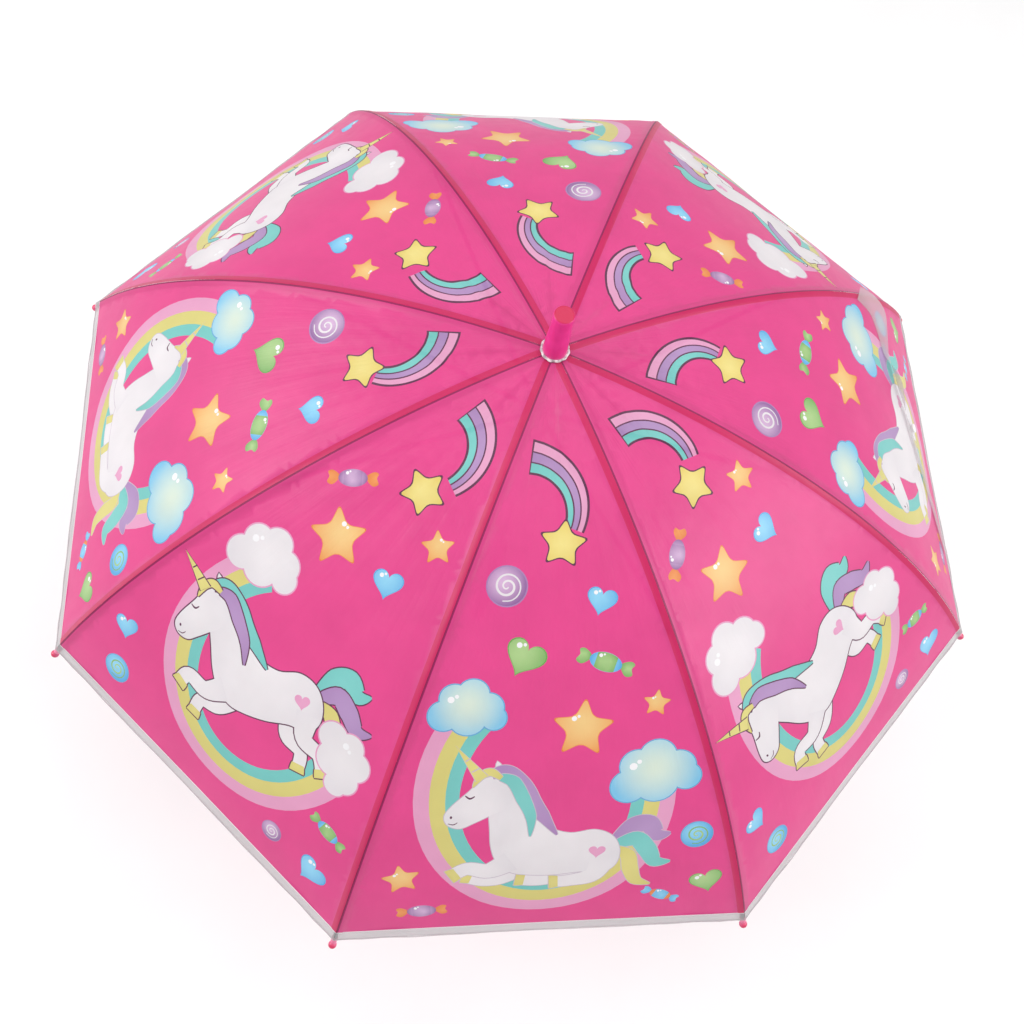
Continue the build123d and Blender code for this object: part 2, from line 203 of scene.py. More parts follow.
def ferrule_finish():
    """Moulded pink shell whose upward end face is painted deeper than its sides, as painted shade, by
    height.
    """
    material = moulded("hot_pink_translucent_pp", "#F0409A", "#E6368C", 0.3, subsurface=0.15)
    tree = material.node_tree
    spot = add(tree, "ShaderNodeSeparateXYZ", {0: add(tree, "ShaderNodeTexCoord").outputs["Object"]})
    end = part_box("ferrule")[1].z
    share = add(tree, "ShaderNodeMapRange", {"Value": spot.outputs[2], "From Min": end - END_FACE_DEPTH,
                                             "From Max": end - END_FACE_SKIN})
    # Painted shade: the upward end face is given a deeper tone than the sides.
    return blend_tone(material, share, last=linear("#C50F4A"))


crimson_tip, ferrule_pink = tip_finish(), ferrule_finish()
report("blended plastics", [m.name for m in (crimson_tip, ferrule_pink)])

# %% [markdown]
# The frame is steel. Ribs and stretchers are rolled strip with a thin black coating, which wears a
# little lighter in streaks. The tube, the pins and the wires are plated and polished, so they keep fine
# drawing lines along the shaft. Those lines are really a few hundredths of a millimetre apart, and here
# they are drawn coarser so that they show. The catches are tempered spring steel, which keeps a warmer,
# duller grey because it isn't plated.

# %% Metals


def coated_steel():
    """Black coated strip: dark, satin, with lighter worn patches."""
    material, tree, out = new_finish("black_coated_steel")
    wear = add(tree, "ShaderNodeMapRange", {"Value": grain(tree, 5.0, 5.0, 0.65).outputs[0],
                                            "From Min": 0.52, "From Max": 0.72})
    tone = add(tree, "ShaderNodeMix", {"Factor": wear.outputs[0], 6: linear("#2A262B"),
                                       7: linear("#5A555C")}, data_type="RGBA")
    gloss = add(tree, "ShaderNodeMapRange", {"Value": wear.outputs[0], "To Min": 0.32, "To Max": 0.46})
    skin = add(tree, "ShaderNodeBump", {"Height": grain(tree, 0.9).outputs[0], "Strength": 0.12,
                                        "Distance": 0.0001})
    steel = add(tree, "ShaderNodeBsdfPrincipled", {
        "Base Color": tone.outputs[2], "Roughness": gloss.outputs[0], "Normal": skin.outputs[0],
        "Metallic": 0.35, "Coat Weight": 0.3, "Coat Roughness": 0.25})
    tree.links.new(steel.outputs[0], out.inputs[0])
    return material


def plated_steel(name, light, dark, rough):
    """Bare or plated steel with fine lines drawn along the shaft."""
    material, tree, out = new_finish(name)
    lines = grain(tree, 0.8, 4.0, 0.6, stretch=(1, 1, 0.02))
    tone = add(tree, "ShaderNodeMix", {"Factor": grain(tree, 20.0).outputs[0], 6: linear(dark),
                                       7: linear(light)}, data_type="RGBA")
    gloss = add(tree, "ShaderNodeMapRange", {"Value": lines.outputs[0], "To Min": rough - 0.06,
                                             "To Max": rough + 0.1})
    skin = add(tree, "ShaderNodeBump", {"Height": lines.outputs[0], "Strength": 0.08, "Distance": 0.0001})
    steel = add(tree, "ShaderNodeBsdfPrincipled", {
        "Base Color": tone.outputs[2], "Roughness": gloss.outputs[0], "Normal": skin.outputs[0],
        "Metallic": 1.0})
    tree.links.new(steel.outputs[0], out.inputs[0])
    return material


black_steel = coated_steel()
bright_steel = plated_steel("bright_plated_steel", "#E4E4E6", "#C9CACD", 0.2)
spring_steel = plated_steel("tempered_spring_steel", "#A9A39B", "#837C74", 0.34)
report("metals", [m.name for m in (black_steel, bright_steel, spring_steel)])

# %% [markdown]
# The film is a soft polyolefin (POE), about 0.15 mm thick. It both reflects light and lets some
# through, so its shader mixes a glossy surface with a translucent one and leaves a small share clear.
# The ink's colour and how much it covers come from the mesh itself, as a colour for each corner of each
# face: its alpha is the cover. That keeps every printed edge as sharp as the mesh. A second attribute
# tells the shader where each point lies in its gore, so that fine creases can run from the hub to the
# hem. The hem and the strap are the same film without ink, which looks frosted.

# %% Film
INK = "ink"
LAY = "lay"


def film_finish(name, tint=None, cover=None):
    """Soft gloss film. Without a tint it reads the ink printed on the mesh."""
    material, tree, out = new_finish(name)
    if tint is None:
        ink = add(tree, "ShaderNodeVertexColor", layer_name=INK)
        colour, cover = ink.outputs["Color"], ink.outputs["Alpha"]
    else:
        colour = linear(tint)
    haze = add(tree, "ShaderNodeMapRange", {"Value": grain(tree, 38.0, 2.0).outputs[0],
                                            "From Min": 0.3, "From Max": 0.7,
                                            "To Min": 0.87, "To Max": 0.94})
    tone = add(tree, "ShaderNodeHueSaturation", {"Value": haze.outputs[0], "Color": colour})
    lay = add(tree, "ShaderNodeAttribute", attribute_name=LAY)
    crease = add(tree, "ShaderNodeTexNoise", {"Vector": lay.outputs["Vector"], "Scale": 1.0, "Detail": 4.0,
                                              "Roughness": 0.62})
    ripple = grain(tree, 22.0, 2.0, 0.4)
    grit = add(tree, "ShaderNodeBump", {"Height": grain(tree, 0.7, 2.0).outputs[0], "Strength": 0.06,
                                        "Distance": 0.0001})
    wavy = add(tree, "ShaderNodeBump", {"Height": ripple.outputs[0], "Strength": 0.3,
                                        "Distance": 0.0014, "Normal": grit.outputs[0]})
    skin = add(tree, "ShaderNodeBump", {"Height": crease.outputs[0], "Strength": 0.45,
                                        "Distance": 0.0007, "Normal": wavy.outputs[0]})
    gloss = add(tree, "ShaderNodeMapRange", {"Value": grain(tree, 9.0, 4.0).outputs[0],
                                             "To Min": 0.3, "To Max": 0.44})
    surface = add(tree, "ShaderNodeBsdfPrincipled", {
        "Base Color": tone.outputs[0], "Roughness": gloss.outputs[0], "Normal": skin.outputs[0],
        "IOR": 1.49, "Specular IOR Level": 0.45})
    through = add(tree, "ShaderNodeBsdfTranslucent", {"Color": tone.outputs[0], "Normal": skin.outputs[0]})
    body = add(tree, "ShaderNodeMixShader", {"Fac": 0.3, 1: surface.outputs[0], 2: through.outputs[0]})
    clear = add(tree, "ShaderNodeBsdfTransparent", {"Color": (0.93, 0.92, 0.93, 1)})
    film = add(tree, "ShaderNodeMixShader", {"Fac": cover, 1: clear.outputs[0], 2: body.outputs[0]})
    tree.links.new(film.outputs[0], out.inputs[0])
    return material


printed_film = film_finish("printed_poe_film")
clear_film = film_finish("frosted_poe_film", "#DAD3D6", 0.62)
report("films", [m.name for m in (printed_film, clear_film)])

# %% [markdown]
# Everything on the canopy is placed in the print's own flat coordinates, in millimetres: across the
# gore from its middle, and along it from the apex. The ribs follow one arc, worked out here from the
# frame's apex, the place of its corners and the arc's rise over the straight line between them. Between
# two ribs the film is stretched straight, level by level, so a gore is a ruled surface. The radii and
# heights along the arc are kept at many steps, because lengths in the flat print and lengths in space
# are looked up in them in both directions.

# %% The gore's surface
GORE_DEGREES = 360 / len(RIBS)
GORE_HALF = radians(GORE_DEGREES / 2)
APEX_Z = 613.0
CORNER_RADIUS, CORNER_DROP, ARC_RISE = 414.0, 211.5, 51.5
HUB_HOLE = 6.0
ARC_STEPS = 1201

chord = hypot(CORNER_RADIUS, CORNER_DROP)
arc_radius = (chord**2 / 4 + ARC_RISE**2) / (2 * ARC_RISE)
arc_length = 2 * arc_radius * asin(chord / 2 / arc_radius)
centre_r = CORNER_RADIUS / 2 - CORNER_DROP / chord * (arc_radius - ARC_RISE)
centre_z = APEX_Z - CORNER_DROP / 2 - CORNER_RADIUS / chord * (arc_radius - ARC_RISE)
apex_angle = atan2(APEX_Z - centre_z, -centre_r)


def on_rib(s, lift=0.0):
    """Radius and height at s along the rib's arc."""
    angle = apex_angle - s / arc_radius
    reach = arc_radius + lift
    return centre_r + reach * np.cos(angle), centre_z + reach * np.sin(angle)


rib_steps = np.linspace(0, arc_length, ARC_STEPS)
step_r, step_z = on_rib(rib_steps)
middle_steps = np.hypot(np.diff(step_r) * cos(GORE_HALF), np.diff(step_z))
along_steps = np.concatenate([[0], np.cumsum(middle_steps)])
GORE_LENGTH = float(along_steps[-1])
HUB_ALONG = float(np.interp(HUB_HOLE, step_r, along_steps))


def half_width(along):
    """Half the gore's width at a distance from the apex."""
    return np.interp(along, along_steps, step_r) * sin(GORE_HALF)


report("gore", f"{GORE_LENGTH:.1f} long, {2 * half_width(GORE_LENGTH):.1f} wide at the hem")

# %% [markdown]
# Film under tension is never a perfect surface. It puckers into short folds round the hub, it pulls
# into shallow creases towards each corner, and the weld along a rib is a double layer that stands a
# little proud. These are fractions of a millimetre, and they are what the highlights show. A cloth
# simulation would only smooth them away, so they are waves written as formulas.

# %% Puckers and welds
WELD_WIDTH = 4.6
# The width of the painted shade line beside each rib, where the rib shows through the film.
RIB_SHADOW_WIDTH = 1.3
WELD_STEP = 0.5
WELD_HEIGHT = 0.35
HEM_WIDTH = 8.5
HEM_LINE = 0.9
HELD_BY_WELD = 14.0
PULL_STARTS, PULL_DEPTH, PULL_REACH = 300.0, 0.6, 60.0
PULL_ACROSS, PULL_ALONG = 0.16, 0.01
BILLOW_DEPTH, BILLOW_ALONG, BILLOW_TWIST = 0.4, 31.0, 85.0
# Where along the gore they are deepest, how far they spread, their depth, waves and shift.
HUB_PUCKERS = ((40.0, 55.0, 0.42, 5.5, 0.6), (95.0, 90.0, 0.24, 9.0, 0.0))


def relief(across, along):
    """How far the film stands off the ruled surface, in millimetres."""
    width = half_width(along)
    share = across / width
    edge = width - np.abs(across)
    free = np.clip((edge - WELD_WIDTH) / HELD_BY_WELD, 0, 1)
    hub = sum(np.exp(-((along - deepest) / spread) ** 2) * depth * np.sin(waves * pi * share + shift)
              for deepest, spread, depth, waves, shift in HUB_PUCKERS)
    corner = np.clip((along - PULL_STARTS) / (GORE_LENGTH - PULL_STARTS), 0, 1) ** 2
    pull = (corner * PULL_DEPTH * np.sin(PULL_ACROSS * edge + PULL_ALONG * along)
            * np.exp(-edge / PULL_REACH))
    billow = (BILLOW_DEPTH * np.sin(along / BILLOW_ALONG + 1.3 * share)
              * np.sin(2.1 * pi * share + along / BILLOW_TWIST))
    weld = WELD_HEIGHT * np.clip((WELD_WIDTH + WELD_STEP - edge) / WELD_STEP, 0, 1)
    return (hub + pull + billow) * free + weld


def on_film(across, along, azimuth, lift=0.0):
    """Points of the film in the row frame, in metres, for a gore whose middle lies at an azimuth."""
    across, along = np.asarray(across, float), np.asarray(along, float)
    s = np.interp(along, along_steps, rib_steps)
    angle = apex_angle - s / arc_radius
    height = relief(across, along) + lift
    r, z = on_rib(s)
    radial = r * cos(GORE_HALF) + height * np.cos(angle)
    x = radial * cos(azimuth) - across * sin(azimuth)
    y = radial * sin(azimuth) + across * cos(azimuth)
    return np.stack([x, y, z + height * np.sin(angle)], axis=1) * MM


def film_normals(across, along, azimuth, step=0.4):
    """Outward unit normals of the film, from points a small step to each side."""
    d_across = on_film(across + step, along, azimuth) - on_film(across - step, along, azimuth)
    d_along = on_film(across, along + step, azimuth) - on_film(across, along - step, azimuth)
    normal = np.cross(d_along, d_across)
    normal *= np.sign(normal[:, 2:3] + 1e-12)
    return normal / np.linalg.norm(normal, axis=1)[:, None]


report("relief at the weld", f"{float(relief(half_width(200.0), 200.0)):.2f} mm")

# %% [markdown]
# The print is drawn as outlines. A few plain shapes are enough: a smooth closed curve through points, a
# strip of changing width along a curve, circles and rings. Each region names its ink, and a later
# region covers an earlier one, as on a printing press.

# %% Drawing shapes


def smooth(points, closed=True, steps=6):
    """A smooth curve through points."""
    p = np.array(points, float)
    n = len(p)
    spans = n if closed else n - 1
    out = []
    for i in range(spans):
        a, b, c, d = (p[j % n] if closed else p[min(max(j, 0), n - 1)] for j in range(i - 1, i + 3))
        for t in np.arange(steps) / steps:
            out.append(0.5 * (2 * b + (c - a) * t + (2 * a - 5 * b + 4 * c - d) * t**2
                              + (3 * b - a - 3 * c + d) * t**3))
    if not closed:
        out.append(p[-1])
    return np.array(out)


def strip(points, widths, steps=6):
    """A band along a smooth curve, whose width follows widths from end to end."""
    line = smooth(points, closed=False, steps=steps)
    way = np.gradient(line, axis=0)
    side = np.stack([-way[:, 1], way[:, 0]], axis=1) / np.linalg.norm(way, axis=1)[:, None]
    wide = np.interp(np.linspace(0, 1, len(line)), np.linspace(0, 1, len(widths)), widths)[:, None] / 2
    return np.concatenate([line + side * wide, (line - side * wide)[::-1]])


def circle(x, y, radius, radius_y=None, corners=28):
    """A circle or an ellipse."""
    t = np.linspace(0, tau, corners, endpoint=False)
    return np.stack([x + radius * np.cos(t), y + (radius_y or radius) * np.sin(t)], axis=1)


def placed(points, x, y, turn=0.0, size=1.0):
    """An outline scaled, turned clockwise by degrees and moved."""
    a = radians(turn)
    p = np.asarray(points, float) * size
    return np.stack([x + p[:, 0] * cos(a) - p[:, 1] * sin(a),
                     y + p[:, 0] * sin(a) + p[:, 1] * cos(a)], axis=1)


def heart_outline():
    """A heart about 1 wide."""
    t = np.linspace(0, tau, 36, endpoint=False)
    x = 16 * np.sin(t) ** 3
    y = 13 * np.cos(t) - 5 * np.cos(2 * t) - 2 * np.cos(3 * t) - np.cos(4 * t)
    return np.stack([x, -y], axis=1) / 32


def star_outline(inner=0.46, rounding=0.16):
    """A five-pointed star of radius 1 with softened points."""
    t = np.arange(10) * pi / 5 - pi / 2
    reach = np.where(np.arange(10) % 2 == 0, 1.0, inner)
    p = np.stack([reach * np.cos(t), reach * np.sin(t)], axis=1)
    for _ in range(2):
        after, before = np.roll(p, -1, axis=0), np.roll(p, 1, axis=0)
        p = np.stack([p + (before - p) * rounding, p + (after - p) * rounding], axis=1).reshape(-1, 2)
    return p


# %% [markdown]
# Inks are given as a pair of tones, at the motif's middle and at its rim, and a cover: how much of the
# light behind the film the ink stops. The ground is the pink film itself, and the hem is left unprinted.

# %% Inks
INKS = {
    "ground": ("#E84690", "#E84690", 0.985),
    "weld": ("#E02A6C", "#E02A6C", 0.985),
    # Painted shade: a dark line where the rib and its shadow show through the film.
    "rib_shadow_line": ("#A32764", "#A32764", 0.97),
    "hem": ("#CBC8CA", "#CBC8CA", 0.72),
    "hem_line": ("#F1EEF0", "#F1EEF0", 0.9),
    "rose": ("#EAA6CC", "#E79FC6", 0.95),
    "lemon": ("#E3DC82", "#D9D172", 0.95),
    "teal": ("#7AD3CC", "#6AC9C2", 0.95),
    "mauve": ("#B795C8", "#A883BA", 0.95),
    "amber": ("#F7D288", "#EE9743", 0.96),
    "comet": ("#F4E68C", "#E6CF63", 0.96),
    "line": ("#5E2C4E", "#5E2C4E", 0.97),
    "hair_line": ("#C9BCCB", "#C9BCCB", 0.97),
    "blue": ("#93DEFC", "#46A9E6", 0.95),
    "green": ("#B2D98F", "#62AB4C", 0.95),
    "white": ("#F0EEF0", "#E6E4E8", 0.97),
    "cloud": ("#DCEFDD", "#79CBF1", 0.95),
    "cloud_rim": ("#5FA9DA", "#5FA9DA", 0.95),
    "orange": ("#F6A452", "#E87A2E", 0.95),
    "lilac": ("#DDBBE0", "#8E5F9F", 0.95),
    "shine": ("#FBFDFF", "#FBFDFF", 0.97),
}


def region(outline, ink, middle=None, reach=None):
    """One printed patch. The ink's tone changes from its middle out to its reach."""
    outline = np.asarray(outline, float)
    x, y = outline.T
    if (x * np.roll(y, -1) - y * np.roll(x, -1)).sum() < 0:
        outline = outline[::-1]
    middle = outline.mean(axis=0) if middle is None else np.array(middle, float)
    far = np.linalg.norm(outline - middle, axis=1).max()
    return {"outline": outline, "ink": ink, "middle": middle, "reach": reach or far}


def shines(x, y, size, turn=0.0):
    """Two small highlights, as on a glazed sweet."""
    spots = [(-0.26, -0.2, 0.075), (-0.14, -0.27, 0.045)]
    return [region(circle(*placed([(u, v)], x, y, turn, size)[0], w * size, corners=9), "shine")
            for u, v, w in spots]


# %% [markdown]
# The small motifs are the usual ones on children's things: hearts, stars, wrapped sweets, swirl
# lollies and clouds. Each is a function that returns its regions, back to front.

# %% Small motifs


def heart(x, y, size, turn, ink):
    """A glazed heart with a rim in its own full tone."""
    shape = placed(heart_outline(), x, y, turn, size)
    rim = placed(heart_outline(), x, y, turn, size * 1.07)
    return [region(rim, "blue" if ink == "blue" else "green", (x, y), size * 0.42),
            region(shape, ink, (x - size * 0.1, y - size * 0.1), size * 0.75)] + shines(x, y, size, turn)


def star(x, y, size, turn=0.0, ink="amber"):
    """A glazed star with an orange rim."""
    return [region(placed(star_outline(), x, y, turn, size * 1.05), "orange", (x, y)),
            region(placed(star_outline(), x, y, turn, size), ink, (x, y - size * 0.2), size * 1.15),
            *shines(x, y - size * 0.1, size * 1.1, turn)]


def swirl(x, y, size, ink="lilac", line="white"):
    """A round lolly with a spiral that is thick in its middle and thin at its ends."""
    turns = np.linspace(0.5, 2.3 * tau, 26)
    reach = np.linspace(0.06, 0.78, 26) * size
    path = np.stack([x + reach * np.cos(turns), y + reach * np.sin(turns)], axis=1)
    rim = "mauve" if ink == "lilac" else "cloud_rim"
    return [region(circle(x, y, size * 1.07), rim),
            region(circle(x, y, size), ink, (x - size * 0.2, y - size * 0.2), size * 1.2),
            region(strip(path, [size * 0.06, size * 0.13, size * 0.06], 3), line)]


def sweet(x, y, length, turn, wrapper, stripe, centre):
    """A wrapped sweet: two fans of paper, a round body and a band at each of its ends."""
    parts = []
    for side in (-1, 1):
        fan = np.array([(0.26, -0.02), (0.4, -0.13), (0.5, -0.1), (0.47, -0.01), (0.51, 0.1), (0.39, 0.14)])
        fan[:, 0] *= side
        parts.append(region(placed(smooth(fan, steps=4), x, y, turn, length), wrapper))
    parts.append(region(placed(circle(0, 0, 0.29, 0.17), x, y, turn, length), stripe, (x, y)))
    body = circle(0, 0, 0.29, 0.165)
    body[:, 0] = np.clip(body[:, 0], -0.18, 0.18)
    parts.append(region(placed(body, x, y, turn, length), centre, (x, y), length * 0.24))
    return parts + shines(x, y, length * 0.45, turn)


def cloud(x, y, width, turn, ink="cloud", rim="cloud_rim", rim_width=0.9):
    """A cloud of round puffs over a flat base, with a rim."""
    puffs = [(-0.3, 0.1, 0.2), (-0.17, -0.13, 0.19), (0.06, -0.19, 0.2), (0.26, -0.02, 0.19),
             (0.33, 0.12, 0.16), (0.0, 0.12, 0.24), (-0.02, 0.0, 0.2)]
    middles = placed([p[:2] for p in puffs], x, y, turn, width)
    sizes = [p[2] * width for p in puffs]
    bright = (x, y - width * 0.06)
    return ([region(circle(*m, s + rim_width), rim) for m, s in zip(middles, sizes)]
            + [region(circle(*m, s), ink, bright, width * 0.5) for m, s in zip(middles, sizes)]
            + shines(x - width * 0.06, y, width * 0.6, turn))


# %% [markdown]
# The shooting star trails three bands that widen away from it, each between dark lines. The rainbow is
# the same idea on a ring: three bands between two angles, a little longer than wide because the film
# falls away towards the hem.

# %% Shooting star and rainbow
RAINBOW_BANDS = [("rose", 0.0, 11.0), ("lemon", 11.0, 22.3), ("teal", 22.3, 32.0)]


def arc_band(x, y, low, high, start, end, steps=26):
    """A band about x, y between two reaches, each given at its start and at its end."""
    t = np.radians(np.linspace(start, end, steps))
    inner, outer = np.linspace(*low, steps), np.linspace(*high, steps)
    way = np.stack([np.cos(t), np.sin(t)], axis=1)
    return np.concatenate([inner[:, None] * way, (outer[:, None] * way)[::-1]]) + (x, y)


def shooting_star(x, y, turn_x, turn_y, reach):
    """A star at x, y whose tail of three bands curves about another point."""
    start, end, gap, edge = -80, 22, 0.5, 1.2
    wide = np.array([22.0, 12.0])
    parts = [region(arc_band(turn_x, turn_y, reach - wide / 2 - edge, reach + wide / 2 + edge,
                             start - 1.6, end), "line")]
    for number, ink in enumerate(("teal", "mauve", "rose")):
        low, high = reach + wide * (number / 3 - 0.5) + gap, reach + wide * ((number + 1) / 3 - 0.5) - gap
        parts.append(region(arc_band(turn_x, turn_y, low, high, start, end), ink))
    parts.append(region(placed(star_outline(0.52), x, y, 8, 18.4), "line"))
    parts.append(region(placed(star_outline(0.52), x, y, 8, 16.6), "comet", (x, y), 16.0))
    return parts


def rainbow(x, y, radius, radius_y, start, end):
    """Ring bands from start to end, in degrees clockwise from the right."""
    t = np.radians(np.linspace(start, end, 44))
    parts = []
    for ink, outer, inner in RAINBOW_BANDS:
        edge = np.stack([x + (radius - outer) * np.cos(t), y + (radius_y - outer) * np.sin(t)], axis=1)
        back = np.stack([x + (radius - inner) * np.cos(t), y + (radius_y - inner) * np.sin(t)], axis=1)
        parts.append(region(np.concatenate([edge, back[::-1]]), ink, (x, y)))
    return parts


# %% [markdown]
# A plain white pony with a horn fills each rainbow. It is drawn from rounded pieces, as a picture-book
# artist blocks an animal in: barrel and neck, head, legs and hooves, and locks of hair. Every piece is
# first printed a little larger in the line's ink, so one clean outline runs round the whole. One pony
# leaps and one rests, so neighbouring gores differ.

# %% Ponies
BARREL = [(-27, -56), (-15, -47), (-5, -31), (6, -19), (22, -14), (40, -17), (54, -11), (61, 2), (60, 17),
          (50, 26), (34, 25), (14, 28), (-6, 28), (-20, 25), (-31, 14), (-36, 0), (-38, -16), (-40, -34),
          (-38, -48)]
HEAD = [(-24, -54), (-34, -62), (-46, -60), (-56, -49), (-67, -37), (-72, -28), (-69, -20), (-60, -17),
        (-50, -22), (-40, -28), (-30, -34), (-23, -44)]
EAR = [(-36, -58), (-37, -75), (-27, -60)]
HORN = [(-51, -58), (-67, -86), (-43, -63)]
HORN_BANDS = [[(-54.4, -65.6), (-48.9, -69.2)], [(-59.6, -74.0), (-56.0, -76.6)]]
MANE = [([(-40, -64), (-30, -66), (-18, -56), (-8, -40), (2, -26), (12, -12)], 13),
        ([(-34, -62), (-24, -58), (-16, -44), (-9, -28), (-8, -10)], 10),
        ([(-33, -61), (-41, -66), (-48, -62), (-53, -53)], 6)]
TAIL = [([(56, -6), (68, -20), (80, -22), (88, -12), (98, -14)], 15),
        ([(57, -2), (72, -8), (82, 2), (90, 14), (102, 14)], 14),
        ([(57, 2), (68, 8), (72, 22), (78, 34), (90, 38)], 12)]
INNER_EAR = [(-35, -60), (-36, -69), (-30, -60)]
EYELID = [(-58, -46), (-54.5, -43.5), (-51, -45.5)]
NOSTRIL = (-67, -27)
MOUTH = [(-69, -21.5), (-65, -20.5), (-62, -22.5)]
SPOT = (44, 4)


def grown(outline, by):
    """The outline moved outwards by a small distance."""
    p = np.asarray(outline, float)
    x, y = p.T
    if (x * np.roll(y, -1) - y * np.roll(x, -1)).sum() < 0:
        p = p[::-1]
    way = np.roll(p, -1, axis=0) - np.roll(p, 1, axis=0)
    out = np.stack([way[:, 1], -way[:, 0]], axis=1) / np.maximum(np.linalg.norm(way, axis=1)[:, None], 1e-6)
    return p + out * by


def lock(points, width, extra=0.0):
    """A lock of hair that swells and ends in a point."""
    shares = [0.55, 1.0, 1.05, 0.8, 0.08]
    return strip(points, [width * share + extra for share in shares], 7)


def leg(points, wide):
    """A leg with a hoof at its end."""
    shin = strip(points, [wide * 1.7, wide * 1.2, wide, wide * 0.95], 7)
    foot, above = np.array(points[-1], float), np.array(points[-2], float)
    way = (foot - above) / np.linalg.norm(foot - above)
    hoof = strip([foot - way * 6, foot - way * 2.5, foot + way], [wide * 0.96, wide * 1.12, wide * 1.2], 4)
    return shin, hoof


def pony(x, y, size, turn, facing, legs, hair, edge):
    """A pony from the side. Legs are given far side first, and edge is the ink of its outline."""
    width = 1.0 / size if edge == "line" else 0.6 / size
    drawn = []
    for (points, wide), ink in zip(TAIL, hair):
        drawn += [(lock(points, wide, 2 * width), edge), (lock(points, wide), ink)]
    for points in legs[:2]:
        shin, hoof = leg(points, 11)
        drawn += [(grown(shin, width), edge), (grown(hoof, width), edge), (shin, "white"), (hoof, "lemon")]
    solid = [smooth(BARREL), smooth(HEAD), smooth(EAR, steps=4)]
    near = [leg(points, 12) for points in legs[2:]]
    drawn += [(grown(o, width), edge) for o in solid + [part for pair in near for part in pair]]
    drawn += [(o, "white") for o in solid + [shin for shin, _ in near]]
    drawn += [(hoof, "lemon") for _, hoof in near]
    drawn.append((smooth(INNER_EAR, steps=4), "rose"))
    for (points, wide), ink in zip(MANE, hair):
        drawn += [(lock(points, wide, 2 * width), edge), (lock(points, wide), ink)]
    drawn += [(grown(HORN, width), edge), (np.array(HORN, float), "lemon")]
    drawn += [(strip(points, [1.1, 1.1], 3), edge) for points in HORN_BANDS]
    drawn.append((strip(EYELID, [0.8, 1.6, 0.8], 4), "line"))
    drawn.append((circle(*NOSTRIL, 0.9, 1.3, 10), "line"))
    drawn.append((strip(MOUTH, [0.5, 0.9, 0.5], 4), "line"))
    drawn.append((placed(heart_outline(), *SPOT, 0, 13), "rose"))
    flip = np.array([facing, 1])
    return [region(placed(o * flip, x, y, turn, size), ink) for o, ink in drawn]


# %% [markdown]
# Two layouts alternate round the canopy. Places are in millimetres across and along the gore, and each
# leg is a line from the body to the hoof, with the far pair first.

# %% The two layouts
LEAPING = [[(-14, 18), (-30, 30), (-46, 30), (-54, 44)], [(36, 18), (34, 34), (46, 44), (44, 60)],
           [(-24, 14), (-42, 20), (-58, 12), (-68, 22)], [(50, 12), (48, 32), (62, 42), (66, 58)]]
RESTING = [[(-10, 16), (-24, 30), (-40, 34), (-54, 30)], [(28, 18), (14, 30), (0, 34), (-14, 33)],
           [(-20, 14), (-36, 24), (-52, 22), (-64, 30)], [(50, 10), (44, 28), (28, 34), (12, 36)]]


def resting_layout():
    """The layout whose pony rests in the rainbow."""
    return (shooting_star(2, 135, -24, 112, 36) + swirl(-35.8, 163, 13.2) + heart(28.3, 173, 20, 14, "blue")
            + heart(-23.5, 211, 27, 28, "green") + sweet(31.8, 216, 40, 18, "green", "blue", "green")
            + star(68.3, 246, 10.5, 6) + star(17.5, 264, 23, 4)
            + rainbow(-6, 320, 93, 107, -14, 233)
            + cloud(-61.6, 247, 54, 2) + cloud(70.3, 300, 66, -12)
            + pony(-9, 361, 0.97, 3, 1, RESTING, ("mauve", "teal", "lemon"), "hair_line")
            + star(-107.7, 387, 15, -8) + sweet(-93, 422, 37, -4, "orange", "lilac", "lilac")
            + swirl(106.3, 355, 11.5, "blue", "green") + heart(119.3, 402, 24, -16, "green")
            + sweet(85.7, 415, 31, 26, "blue", "orange", "blue"))


def leaping_layout():
    """The layout whose pony leaps out of the rainbow."""
    return (shooting_star(3, 134, -17, 106, 35) + sweet(-40, 159.5, 36, -38, "orange", "lilac", "lilac")
            + star(-21, 196.5, 22, 34) + star(36, 155, 12.5, 30) + heart(26, 196, 21, -24, "blue")
            + rainbow(6, 313, 91, 104, -4, 229)
            + cloud(-52, 243, 60, -12, "white", "rose", 1.1)
            + pony(-6, 322, 0.96, -30, 1, LEAPING, ("teal", "mauve", "lemon"), "line")
            + cloud(80, 316, 56, 50, "white", "rose", 1.1)
            + swirl(-101.5, 411, 11.5, "blue", "green") + heart(-110.4, 370, 20, -20, "blue")
            + swirl(71.2, 413, 8.5) + sweet(104.5, 371, 34, 8, "green", "blue", "green")
            + heart(112.8, 413, 25, 18, "blue"))


# %% [markdown]
# To print on the film, the gore's outline and all motif outlines go through one constrained
# triangulation. It returns flat triangles and, for each, the regions that hold it, so the last region
# in the list is the ink on top. Extra points inside keep the triangles small enough to follow the
# curved film. The welds, the hem and a line of painted shade beside each rib, where the rib shows
# through the film, are regions too. A texture could carry the print as well, but it blurs when it is
# seen from close by, while the triangles keep each edge as sharp as a screen print's.

# %% Printing
FILM_PITCH = 7.0
EDGE_STEPS = 84
FILM_ROW = FILM_PITCH * 0.87
CLEAR_OF_WELD, CLEAR_OF_MIDDLE = 1.5, 1.5
LEAST_START = 0.5
# The levels at which the film is divided into its folding zones, counted from the hub.
FOLD_STEPS = (10, 19, 29, 40, 54)
GORE_LEVELS = np.linspace(HUB_ALONG, GORE_LENGTH, EDGE_STEPS)
FOLD_LEVELS = [float(v) for v in GORE_LEVELS[list(FOLD_STEPS)]]
MIRROR = np.array([-1, 1])


def band(inner, outer):
    """A strip down the gore's right side, between two distances in from the rib, from where it fits."""
    start = max(HUB_ALONG, (inner + LEAST_START) / tan(GORE_HALF)) if inner else HUB_ALONG
    along = np.linspace(start, GORE_LENGTH, EDGE_STEPS)
    width = half_width(along)
    edge = np.stack([np.maximum(width - outer, 0), along], axis=1)
    back = np.stack([np.maximum(width - inner, 0), along], axis=1)
    return np.concatenate([edge, back[::-1]])


